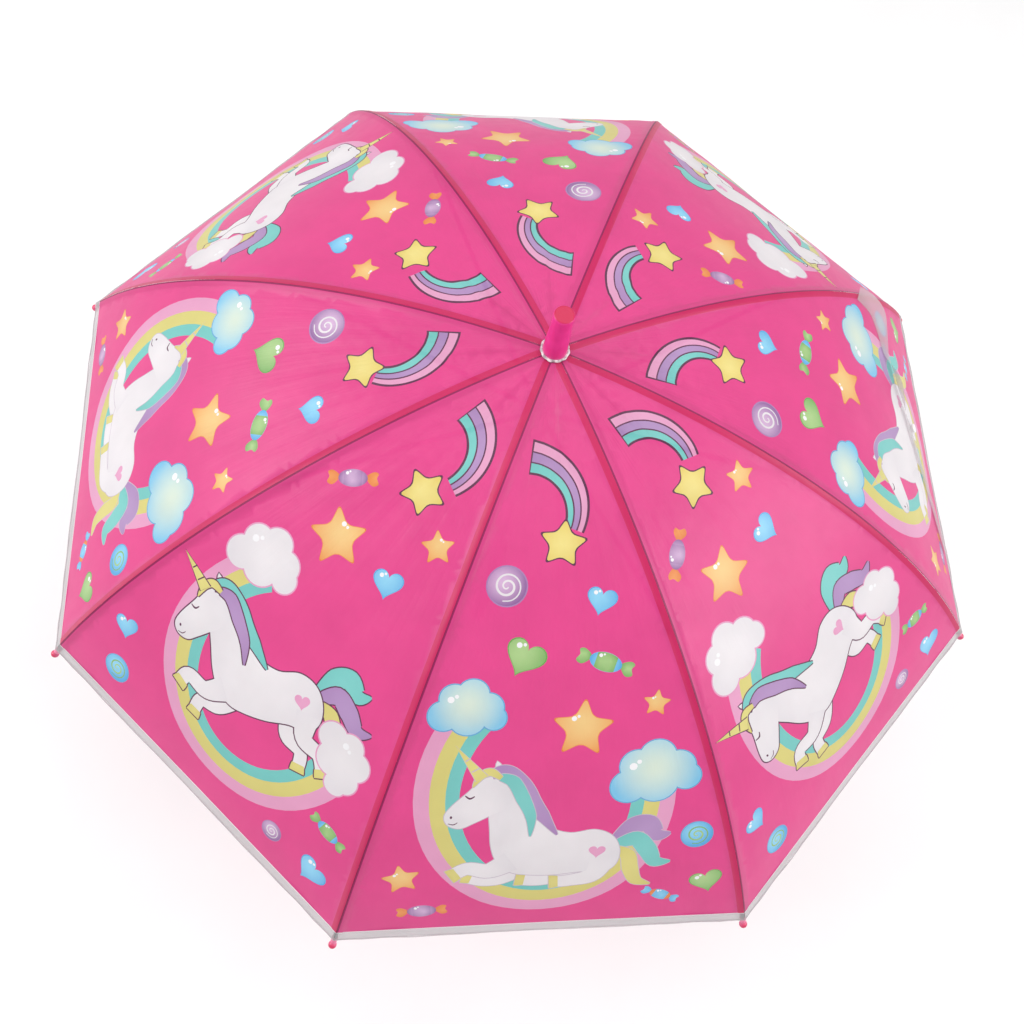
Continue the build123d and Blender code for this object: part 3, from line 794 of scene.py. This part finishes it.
def printed_regions(motifs):
    """The ground, the motifs, the welds, the painted rib shadow lines and the hem, back to front."""
    right = np.stack([half_width(GORE_LEVELS), GORE_LEVELS], axis=1)
    regions = [region(np.concatenate([right * MIRROR, right[::-1]]), "ground")] + motifs
    for inner, outer in ((WELD_WIDTH, WELD_WIDTH + WELD_STEP), (0, WELD_WIDTH)):
        regions.append(region(band(inner, outer), "weld"))
        regions.append(region(band(inner, outer) * MIRROR, "ground"))
    # A painted shade line beside the rib, where the rib and its shadow show through the film.
    regions.append(region(band(0, RIB_SHADOW_WIDTH) * MIRROR, "rib_shadow_line"))
    hem_top = GORE_LENGTH - HEM_WIDTH
    for top, ink in ((hem_top - HEM_LINE, "hem_line"), (hem_top, "hem")):
        levels = np.linspace(top, GORE_LENGTH, 4)
        edge = np.stack([half_width(levels), levels], axis=1)
        regions.append(region(np.concatenate([edge * MIRROR, edge[::-1]]), ink))
    return regions


def dividing_lines():
    """Lines that no triangle may cross: the gore's middle and the borders of the folding zones."""
    lines = [[[0.0, v] for v in GORE_LEVELS]]
    for v in FOLD_LEVELS:
        wide = half_width(v)
        lines.append([[float(u), v] for u in np.linspace(-1, 1, 2 * int(wide / FILM_PITCH) + 3) * wide])
    return lines


def filling_points():
    """Points inside the gore, in staggered rows, that keep the triangles small."""
    points = []
    wide = half_width(GORE_LENGTH)
    for row, v in enumerate(np.arange(HUB_ALONG + 3, GORE_LENGTH - 2, FILM_ROW)):
        limit = half_width(v) - WELD_WIDTH - CLEAR_OF_WELD
        offset = FILM_PITCH * (0.5 if row % 2 else 0.98)
        for u in np.arange(-offset - FILM_PITCH * int(wide / FILM_PITCH), wide, FILM_PITCH):
            if CLEAR_OF_MIDDLE < abs(u) < limit:
                points.append([float(u), float(v)])
    return points


def print_gore(motifs):
    """Flat points, triangles, the number of each triangle's ink region, and the regions."""
    regions = printed_regions(motifs)
    points, faces, edges = [], [], []
    for r in regions:
        faces.append(list(range(len(points), len(points) + len(r["outline"]))))
        points += r["outline"].tolist()
    for line in dividing_lines():
        edges += [(len(points) + i, len(points) + i + 1) for i in range(len(line) - 1)]
        points += line
    points += filling_points()
    spots, _, triangles, _, _, owners = delaunay_2d_cdt([Vector(p) for p in points], edges, faces, 1, 1e-4)
    flat = np.array([tuple(p) for p in spots])
    ink_of = np.array([max(o) if o else 0 for o in owners])
    return flat, np.array(triangles), ink_of, regions


def inked(regions, ink_of, flat, triangles):
    """The colour and cover at each corner of each triangle."""
    out = np.ones((len(triangles), 3, 4), np.float32)
    for number in np.unique(ink_of):
        r = regions[number]
        near, far, cover = INKS[r["ink"]]
        chosen = ink_of == number
        corners = flat[triangles[chosen]]
        share = np.clip(np.linalg.norm(corners - r["middle"], axis=2) / r["reach"], 0, 1)[..., None] ** 1.6
        out[chosen, :, :3] = np.array(linear(near)[:3]) * (1 - share) + np.array(linear(far)[:3]) * share
        out[chosen, :, 3] = cover
    return out


printed = []
for motifs in (leaping_layout(), resting_layout()):
    flat, triangles, ink_of, regions = print_gore(motifs)
    printed.append((flat, triangles, inked(regions, ink_of, flat, triangles)))
    report("printed gore", f"{len(flat)} points, {len(triangles)} triangles, {len(regions)} regions")

# %% [markdown]
# A rib carries the two half gores welded to it, so the canopy is made as eight panels that meet along
# the middles of the gores. Neighbours share their edge points exactly, and the normals are worked out
# from the whole film rather than from each mesh, so no line shows where they meet. When the umbrella
# folds, real film gathers in pleats. Each panel rides on its rib. The ribs crowd together far more at
# the hem than at the hub, so the panel is divided into six zones, one for each of the folded shares listed.

# %% Canopy panels
FOLDED_SHARES = (0.66, 0.60, 0.53, 0.465, 0.40, 0.32)
CREASES = 16.0
CREASE_LENGTH = 90.0
CREASE_SHIFT = 7.3
# Points that agree to a millionth of a metre are one point.
PLACES_PER_METRE = 1e6


def rib_azimuth(number):
    """The direction of a rib, round from +X."""
    return radians(GORE_DEGREES * (number - 1))


def draw_in(piece, number):
    """The piece rides on its rib."""
    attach(piece, f"rib_{number}")
    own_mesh(piece)


def new_mesh(name, points, faces, material, shade_smooth=True):
    """A mesh object at the world's origin with one material."""
    mesh = bpy.data.meshes.new(name)
    mesh.from_pydata([tuple(p) for p in points], [], [tuple(int(i) for i in f) for f in faces])
    mesh.materials.append(material)
    if shade_smooth:
        mesh.shade_smooth()
    piece = bpy.data.objects.new(name, mesh)
    bpy.context.scene.collection.objects.link(piece)
    return piece


def half_gore(number, side):
    """Points, triangles, normals, ink and lay of one half of the gore after rib number."""
    flat, triangles, ink = printed[number % 2]
    across, along = flat.T
    azimuth = rib_azimuth(number) + GORE_HALF
    chosen = np.sign(flat[triangles].mean(axis=1)[:, 0]) == side
    lay = np.stack([CREASES * across / np.maximum(half_width(along), 1.0), along / CREASE_LENGTH,
                    np.full(len(flat), CREASE_SHIFT * number)], axis=1)
    points = on_film(across, along, azimuth)
    normals = film_normals(across, along, azimuth)
    faces, ink = triangles[chosen], ink[chosen]
    first, second, third = points[faces].transpose(1, 0, 2)
    facing = np.cross(second - first, third - first)
    inward = (facing * normals[faces[:, 0]]).sum(axis=1) < 0
    faces[inward] = faces[inward][:, ::-1]
    ink[inward] = ink[inward][:, ::-1]
    return points, faces, normals, ink, lay


def canopy_zones(number):
    """The two half gores beside a rib, joined along it, as one mesh for each folding zone."""
    after, before = half_gore(number, -1), half_gore(number - 1 or len(RIBS), 1)
    points, _, normals, ink, lay = (np.concatenate(pair) for pair in zip(after, before))
    faces = np.concatenate([after[1], before[1] + len(after[0])])
    normals, lay = normals[faces], lay[faces]
    along = lay[:, :, 1].mean(axis=1) * CREASE_LENGTH
    keys = np.round(points * PLACES_PER_METRE).astype(np.int64)
    _, first, same = np.unique(keys, axis=0, return_index=True, return_inverse=True)
    faces = same.reshape(-1)[faces]
    # A sliver whose corners have become one point is left out.
    whole = (faces != np.roll(faces, 1, axis=1)).all(axis=1)
    zone_of = np.searchsorted(FOLD_LEVELS, along)
    zones = []
    for zone in range(len(FOLDED_SHARES)):
        kept = whole & (zone_of == zone)
        used, corners = np.unique(faces[kept], return_inverse=True)
        film = new_mesh(f"canopy_film_{number}_{zone + 1}", points[first][used], corners.reshape(-1, 3),
                        printed_film)
        colours = film.data.color_attributes.new(INK, "FLOAT_COLOR", "CORNER")
        colours.data.foreach_set("color", ink[kept].reshape(-1))
        places = film.data.attributes.new(LAY, "FLOAT_VECTOR", "CORNER")
        places.data.foreach_set("vector", lay[kept].reshape(-1))
        film.data.normals_split_custom_set([tuple(n) for n in normals[kept].reshape(-1, 3)])
        zones.append(film)
    return zones


films = {}
for number in RIBS:
    films[number] = canopy_zones(number)
    for film, share in zip(films[number], FOLDED_SHARES):
        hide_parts(f"canopy_panel_{number}")
        draw_in(film, number)
report("film triangles", sum(len(film.data.polygons) for zones in films.values() for film in zones))

# %% [markdown]
# Small repeated pieces are made with Geometry Nodes. A tree takes a line or a few points and gives the
# finished mesh, with its sizes as named inputs. They could be modelled once and copied, but the beads
# follow a curved hem, and a tree does that for any line. The result is made a plain mesh for each rib.

# %% Trees for repeated pieces


def new_tree(name, sizes):
    """A geometry tree with a geometry input, number inputs and a material input."""
    tree = bpy.data.node_groups.new(name, "GeometryNodeTree")
    tree.interface.new_socket("Geometry", in_out="INPUT", socket_type="NodeSocketGeometry")
    for label in sizes:
        tree.interface.new_socket(label, in_out="INPUT", socket_type="NodeSocketFloat")
    tree.interface.new_socket("Material", in_out="INPUT", socket_type="NodeSocketMaterial")
    tree.interface.new_socket("Geometry", in_out="OUTPUT", socket_type="NodeSocketGeometry")
    return tree, add(tree, "NodeGroupInput"), add(tree, "NodeGroupOutput")


def finish_tree(tree, given, out, geometry):
    """Ends a tree with real geometry, smooth shading and its material."""
    real = add(tree, "GeometryNodeRealizeInstances", {0: geometry})
    soft = add(tree, "GeometryNodeSetShadeSmooth", {0: real.outputs[0]})
    done = add(tree, "GeometryNodeSetMaterial", {0: soft.outputs[0], "Material": given.outputs["Material"]})
    tree.links.new(done.outputs[0], out.inputs[0])


def bead_tree():
    """A round bead along a line."""
    tree, given, out = new_tree("bead_along_line", ["Bead radius"])
    curve = add(tree, "GeometryNodeMeshToCurve", {0: given.outputs["Geometry"]})
    round_section = add(tree, "GeometryNodeCurvePrimitiveCircle", {"Resolution": 8,
                                                                   "Radius": given.outputs["Bead radius"]})
    bead = add(tree, "GeometryNodeCurveToMesh", {"Curve": curve.outputs[0],
                                                 "Profile Curve": round_section.outputs[0],
                                                 "Fill Caps": True})
    finish_tree(tree, given, out, bead.outputs[0])
    return tree


def tie_tree():
    """A thread loop at each point, round the line that the point's 'way' gives."""
    tree, given, out = new_tree("ties_on_rib", ["Loop radius", "Thread radius"])
    way = add(tree, "GeometryNodeInputNamedAttribute", {"Name": "way"}, data_type="FLOAT_VECTOR")
    facing = add(tree, "FunctionNodeAlignRotationToVector", {"Vector": way.outputs[0]}, axis="Z")
    loop = add(tree, "GeometryNodeCurvePrimitiveCircle", {"Resolution": 20,
                                                          "Radius": given.outputs["Loop radius"]})
    thread = add(tree, "GeometryNodeCurvePrimitiveCircle", {"Resolution": 7,
                                                            "Radius": given.outputs["Thread radius"]})
    tie = add(tree, "GeometryNodeCurveToMesh", {"Curve": loop.outputs[0],
                                                "Profile Curve": thread.outputs[0]})
    placed_ties = add(tree, "GeometryNodeInstanceOnPoints", {
        "Points": given.outputs["Geometry"], "Instance": tie.outputs[0], "Rotation": facing.outputs[0]})
    finish_tree(tree, given, out, placed_ties.outputs[0])
    return tree


def grow(name, tree, points, edges, inputs, material, ways=None):
    """Runs a tree on points and edges and returns the result as a plain mesh object."""
    seed = bpy.data.meshes.new(name)
    seed.from_pydata([tuple(p) for p in points], edges, [])
    if ways is not None:
        way = seed.attributes.new("way", "FLOAT_VECTOR", "POINT")
        way.data.foreach_set("vector", np.array(ways).reshape(-1))
    source = bpy.data.objects.new(f"{name}_seed", seed)
    bpy.context.scene.collection.objects.link(source)
    modifier = source.modifiers.new("tree", "NODES")
    modifier.node_group = tree
    for item in tree.interface.items_tree:
        if item.in_out == "INPUT" and item.name in inputs:
            modifier[item.identifier] = inputs[item.name]
        if item.in_out == "INPUT" and item.name == "Material":
            modifier[item.identifier] = material
    bpy.context.view_layer.update()
    mesh = bpy.data.meshes.new_from_object(source.evaluated_get(bpy.context.evaluated_depsgraph_get()))
    mesh.name = name
    piece = bpy.data.objects.new(name, mesh)
    bpy.context.scene.collection.objects.link(piece)
    bpy.data.objects.remove(source)
    return piece


# %% [markdown]
# The hem's edge is melted as it is cut, which leaves a fine bead all round. Three ties of polyester
# thread hold each seam to its rib. The thread's twist is really about 0.2 mm, and it is drawn coarser so
# that it shows.

# %% Hem beads and ties
BEAD_RADIUS = 0.45
BEAD_STEPS = 24
TIE_PLACES = (112.0, 305.0, 398.0)
TIE_RADIUS, THREAD_RADIUS = 2.75, 0.4
RIB_MIDDLE = -3.0


def hem_line(number):
    """Points along the hem from the middle of one gore, past a rib, to the middle of the next."""
    wide = float(half_width(GORE_LENGTH))
    steps = np.linspace(0, 1, BEAD_STEPS)
    level = np.full(BEAD_STEPS, GORE_LENGTH)
    first = on_film(wide * steps, level, rib_azimuth(number) - GORE_HALF)
    last = on_film(wide * (steps - 1), level, rib_azimuth(number) + GORE_HALF)
    return np.concatenate([first, last[1:]])


def tie_spots(number):
    """Where the ties of a rib are, and the rib's direction at each."""
    a = rib_azimuth(number)
    spots, ways = [], []
    for s in TIE_PLACES:
        r, z = on_rib(s, RIB_MIDDLE)
        fall = apex_angle - s / arc_radius
        spots.append((r * cos(a) * MM, r * sin(a) * MM, z * MM))
        ways.append((sin(fall) * cos(a), sin(fall) * sin(a), -cos(fall)))
    return spots, ways


def thread_finish():
    """Pink polyester thread, matt, with a fine twist."""
    material, tree, out = new_finish("pink_polyester_thread")
    twist = grain(tree, 0.5, 2.0, 0.5, stretch=(1, 1, 3))
    tone = add(tree, "ShaderNodeMix", {"Factor": twist.outputs[0], 6: linear("#C8306F"),
                                       7: linear("#EE6BA2")}, data_type="RGBA")
    skin = add(tree, "ShaderNodeBump", {"Height": twist.outputs[0], "Strength": 0.5, "Distance": 0.0001})
    fibre = add(tree, "ShaderNodeBsdfPrincipled", {"Base Color": tone.outputs[2], "Roughness": 0.7,
                                                   "Normal": skin.outputs[0], "Sheen Weight": 0.3})
    tree.links.new(fibre.outputs[0], out.inputs[0])
    return material


bead, tie, thread = bead_tree(), tie_tree(), thread_finish()
for number in RIBS:
    line = hem_line(number)
    edge = grow(f"hem_bead_{number}", bead, line, [(i, i + 1) for i in range(len(line) - 1)],
                {"Bead radius": BEAD_RADIUS * MM}, clear_film)
    draw_in(edge, number)
    spots, ways = tie_spots(number)
    ties = grow(f"rib_ties_{number}", tie, spots, [], {"Loop radius": TIE_RADIUS * MM,
                                                       "Thread radius": THREAD_RADIUS * MM}, thread, ways)
    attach(ties, f"rib_{number}")
report("beads and ties", 2 * len(RIBS))

# %% [markdown]
# The closure strap is a ribbon of the same film, unprinted, welded near one seam and lying loose over
# the gore. It is built along a smooth path in the gore's own coordinates, each point given as its
# distance across the gore and its distance from the shaft, and it turns a little on itself halfway, as
# a loose ribbon does. A curve with a flat profile could make it too, but a grid of points can keep the
# same small gap to the film at every step. It rides on the first rib.

# %% Closure strap
STRAP_GORE = 1
STRAP_PATH = [(117, 284), (110, 301), (94, 311), (66, 319), (28, 330), (-16, 347), (-56, 361), (-92, 370)]
STRAP_WIDTH = 13.0
STRAP_CLEAR = 0.9
STRAP_COLUMNS = 9
STRAP_AZIMUTH = rib_azimuth(STRAP_GORE) + GORE_HALF
# The ribbon's turns on itself: how far in radians, where along it, and over what share of it.
STRAP_TURNS = ((0.8, 0.17, 0.15), (-0.6, 0.5, 0.08))
END_CURL, END_CURL_SHARE = 0.8, 0.09


def radial_to_along(radial):
    """Distance along the gore's middle for a distance from the shaft's axis."""
    return np.interp(radial, step_r * cos(GORE_HALF), along_steps)


def closure_strap():
    """A ribbon that follows the film, with a soft turn at its middle."""
    path = smooth([(u, radial_to_along(v)) for u, v in STRAP_PATH], closed=False, steps=14)
    way = np.gradient(path, axis=0)
    side = np.stack([-way[:, 1], way[:, 0]], axis=1) / np.linalg.norm(way, axis=1)[:, None]
    t = np.linspace(0, 1, len(path))
    turn = sum(angle * np.exp(-((t - place) / share) ** 2) for angle, place, share in STRAP_TURNS)
    curl = END_CURL * np.exp(-((t - 1.0) / END_CURL_SHARE) ** 2)
    points = []
    for u in np.linspace(-1, 1, STRAP_COLUMNS):
        spot = path + side * (u * STRAP_WIDTH / 2 * np.cos(turn))[:, None]
        lift = STRAP_CLEAR + STRAP_WIDTH / 2 * np.sin(np.abs(turn)) * (1 - u * np.sign(turn))
        lift = lift + curl * (1 + 0.5 * u * u)
        points.append(on_film(spot[:, 0], spot[:, 1], STRAP_AZIMUTH, lift))
    grid = np.stack(points, axis=1)
    rows, columns = grid.shape[:2]
    faces = [(i * columns + j, i * columns + j + 1, (i + 1) * columns + j + 1, (i + 1) * columns + j)
             for i in range(rows - 1) for j in range(columns - 1)]
    ribbon = new_mesh("closure_strap_film", grid.reshape(-1, 3), faces, clear_film)
    length = float(np.linalg.norm(np.diff(grid[:, columns // 2], axis=0), axis=1).sum())
    return ribbon, length


strap, strap_length = closure_strap()
report("strap length", f"{strap_length / MM:.0f} mm")
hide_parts("closure_strap")
draw_in(strap, 1)

# %% [markdown]
# A turned piece such as a press stud or a washer is an outline spun about an axis. The stud has a
# rolled rim round a dished middle. The washer is soft frosted plastic, so its edge is slightly wavy. A
# Screw modifier spins outlines too, but the wave needs each point's own angle, so a loop does it here.

# %% Turned pieces


def turned(name, outline, material, wave=0.0, waves=5, steps=72):
    """Spins an outline of (radius, height) in millimetres about +Z. Its ends may lie on the axis."""
    points, faces = [], []
    for i in range(steps):
        a = tau * i / steps
        ripple = 1 + wave * (sin(waves * a) + 0.6 * sin(3 * a + 1.0))
        for r, z in outline:
            points.append((r * ripple * cos(a) * MM, r * ripple * sin(a) * MM, z * MM))
    n = len(outline)
    for i in range(steps):
        for j in range(n - 1):
            k = (i + 1) % steps
            faces.append((i * n + j, k * n + j, k * n + j + 1, i * n + j + 1))
    piece = new_mesh(name, points, faces, material)
    tidy_turned(piece.data)
    return piece


def tidy_turned(mesh):
    """Closes the poles and points the faces outwards."""
    bm = bmesh.new()
    bm.from_mesh(mesh)
    bmesh.ops.remove_doubles(bm, verts=bm.verts, dist=1 / PLACES_PER_METRE)
    bmesh.ops.recalc_face_normals(bm, faces=bm.faces)
    bm.to_mesh(mesh)
    bm.free()


STUD_PLACE = (16.0, 344.5)
STUD_CLEAR = 0.3
STUD_OUTLINE = [(0, 0), (4.1, 0), (4.3, 0.25), (4.3, 0.8), (4.1, 1.3), (3.6, 1.7), (3.0, 1.8), (2.5, 1.6),
                (2.2, 1.1), (1.6, 0.9), (0.9, 0.95), (0, 1.0)]
stud = turned("strap_press_stud", STUD_OUTLINE, white_pom)
stud_across, stud_along = np.array([STUD_PLACE[0]]), np.array([radial_to_along(STUD_PLACE[1])])
stud_base = on_film(stud_across, stud_along, STRAP_AZIMUTH, STRAP_CLEAR + STUD_CLEAR)[0]
stud_up = Vector(film_normals(stud_across, stud_along, STRAP_AZIMUTH)[0])
stud.data.transform(stud_up.to_track_quat("Z", "Y").to_matrix().to_4x4())
stud.data.transform(Matrix.Translation(Vector(stud_base)))
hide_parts("strap_snap")
draw_in(stud, 1)


def washer_outline(bore=4.1):
    """A soft washer as big as the frame's, with a rounded edge that is rolled up a little."""
    low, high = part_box("top_washer")
    bottom, top, radius = low.z / MM, high.z / MM, high.x / MM
    return [(bore, bottom), (radius - 0.5, bottom), (radius, bottom + 0.5), (radius - 0.1, top - 0.3),
            (radius - 0.7, top + 0.15), (radius - 1.5, top), (bore, top), (bore, bottom)]


washer = turned("top_washer_frosted", washer_outline(), frosted_pe, wave=0.022, waves=11)
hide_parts("top_washer")
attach(washer, "shaft")
report("turned pieces", f"{len(stud.data.polygons)} and {len(washer.data.polygons)} faces")

# %% [markdown]
# Everything else is the frame itself. Each node gets the finish of the real piece.

# %% Finishes for the frame
FRAME_FINISHES = {
    "ferrule": ferrule_pink, "handle": hot_pink, "thumb_ring": hot_pink, "handle_collar": white_pom,
    "crown": white_pom, "runner": white_pom, "shaft_tube": bright_steel, "ferrule_pin": bright_steel,
    "handle_pin": bright_steel, "runner_stop_pin": bright_steel, "crown_wire": bright_steel,
    "runner_wire": bright_steel, "top_catch": spring_steel, "bottom_catch": spring_steel,
}
for number in RIBS:
    FRAME_FINISHES[f"rib_{number}"] = black_steel
    FRAME_FINISHES[f"stretcher_{number}"] = black_steel
    FRAME_FINISHES[f"joint_rivet_{number}"] = bright_steel
    FRAME_FINISHES[f"rib_tip_{number}"] = crimson_tip
for name, finish in FRAME_FINISHES.items():
    mesh = frame["nodes"][name].data
    mesh.materials.clear()
    mesh.materials.append(finish)
report("frame nodes with a finish", len(FRAME_FINISHES))

# %% [markdown]
# The umbrella is seen from high in front, a little turned. The light is soft: a broad panel to each side
# and one overhead, over a plain floor of pale paper that bounces light up through the film. The camera's
# distance and shifts are measured from the apex.

# %% Floor, light and camera
CAMERA_AZIMUTH, CAMERA_HEIGHT, CAMERA_ROLL = radians(5.228), radians(69.859), radians(15.976)
CAMERA_DISTANCE, CAMERA_ACROSS, CAMERA_UP = 0.66845, -0.02944, -0.1117
CAMERA_LENS = 34.08
FLOOR_REACH = 6.0
LIGHTS_AIM = (0, 0, 0.5)
SKY_STRENGTH = 0.62


def floor_finish():
    """Seamless studio paper: pale, matt, with the faintest mottle."""
    material, tree, out = new_finish("studio_paper")
    mottle = grain(tree, 160.0, 3.0)
    shade = add(tree, "ShaderNodeMix", {"Factor": mottle.outputs[0], 6: linear("#F6F5F5"),
                                        7: linear("#FBFBFB")}, data_type="RGBA")
    paper = add(tree, "ShaderNodeBsdfPrincipled", {"Base Color": shade.outputs[2], "Roughness": 0.9,
                                                   "Specular IOR Level": 0.1})
    tree.links.new(paper.outputs[0], out.inputs[0])
    return material


def area_light(name, place, size, power):
    """A square soft panel that faces the canopy."""
    lamp = bpy.data.lights.new(name, "AREA")
    lamp.shape = "SQUARE"
    lamp.size = size
    lamp.energy = power
    holder = bpy.data.objects.new(name, lamp)
    holder.location = place
    holder.rotation_euler = (Vector(LIGHTS_AIM) - Vector(place)).to_track_quat("-Z", "Y").to_euler()
    bpy.context.scene.collection.objects.link(holder)


corners = [(FLOOR_REACH * x, FLOOR_REACH * y, 0) for x, y in ((-1, -1), (1, -1), (1, 1), (-1, 1))]
floor = new_mesh("floor", corners, [(0, 1, 2, 3)], floor_finish(), shade_smooth=False)
area_light("left_panel", (-1.9, -0.5, 1.7), 1.5, 29)
area_light("right_panel", (1.9, 0.1, 1.6), 1.3, 21)
area_light("overhead", (0.1, 0.5, 2.4), 1.8, 12)
world = bpy.data.worlds.new("studio")
world.use_nodes = True
sky = world.node_tree.nodes["Background"]
sky.inputs["Color"].default_value = (1, 1, 1, 1)
sky.inputs["Strength"].default_value = SKY_STRENGTH
bpy.context.scene.world = world
bpy.context.scene.view_settings.view_transform = "Standard"


def studio_camera():
    """The camera looks down at the apex from its azimuth and height, rolled to one side."""
    back = Vector((sin(CAMERA_AZIMUTH) * cos(CAMERA_HEIGHT), -cos(CAMERA_AZIMUTH) * cos(CAMERA_HEIGHT),
                   sin(CAMERA_HEIGHT)))
    right = Vector((cos(CAMERA_AZIMUTH), sin(CAMERA_AZIMUTH), 0))
    up = back.cross(right)
    rolled_right = cos(CAMERA_ROLL) * right + sin(CAMERA_ROLL) * up
    rolled_up = cos(CAMERA_ROLL) * up - sin(CAMERA_ROLL) * right
    camera = bpy.data.objects.new("camera", bpy.data.cameras.new("camera"))
    camera.data.lens = CAMERA_LENS
    camera.data.clip_start = 0.02
    place = (Vector((0, 0, APEX_Z * MM)) + back * CAMERA_DISTANCE + rolled_right * CAMERA_ACROSS
             + rolled_up * CAMERA_UP)
    basis = Matrix((rolled_right, rolled_up, back)).transposed()
    camera.matrix_world = Matrix.Translation(place) @ basis.to_4x4()
    bpy.context.scene.collection.objects.link(camera)
    bpy.context.scene.camera = camera


studio_camera()
report("camera", [round(v, 3) for v in bpy.context.scene.camera.matrix_world.translation])
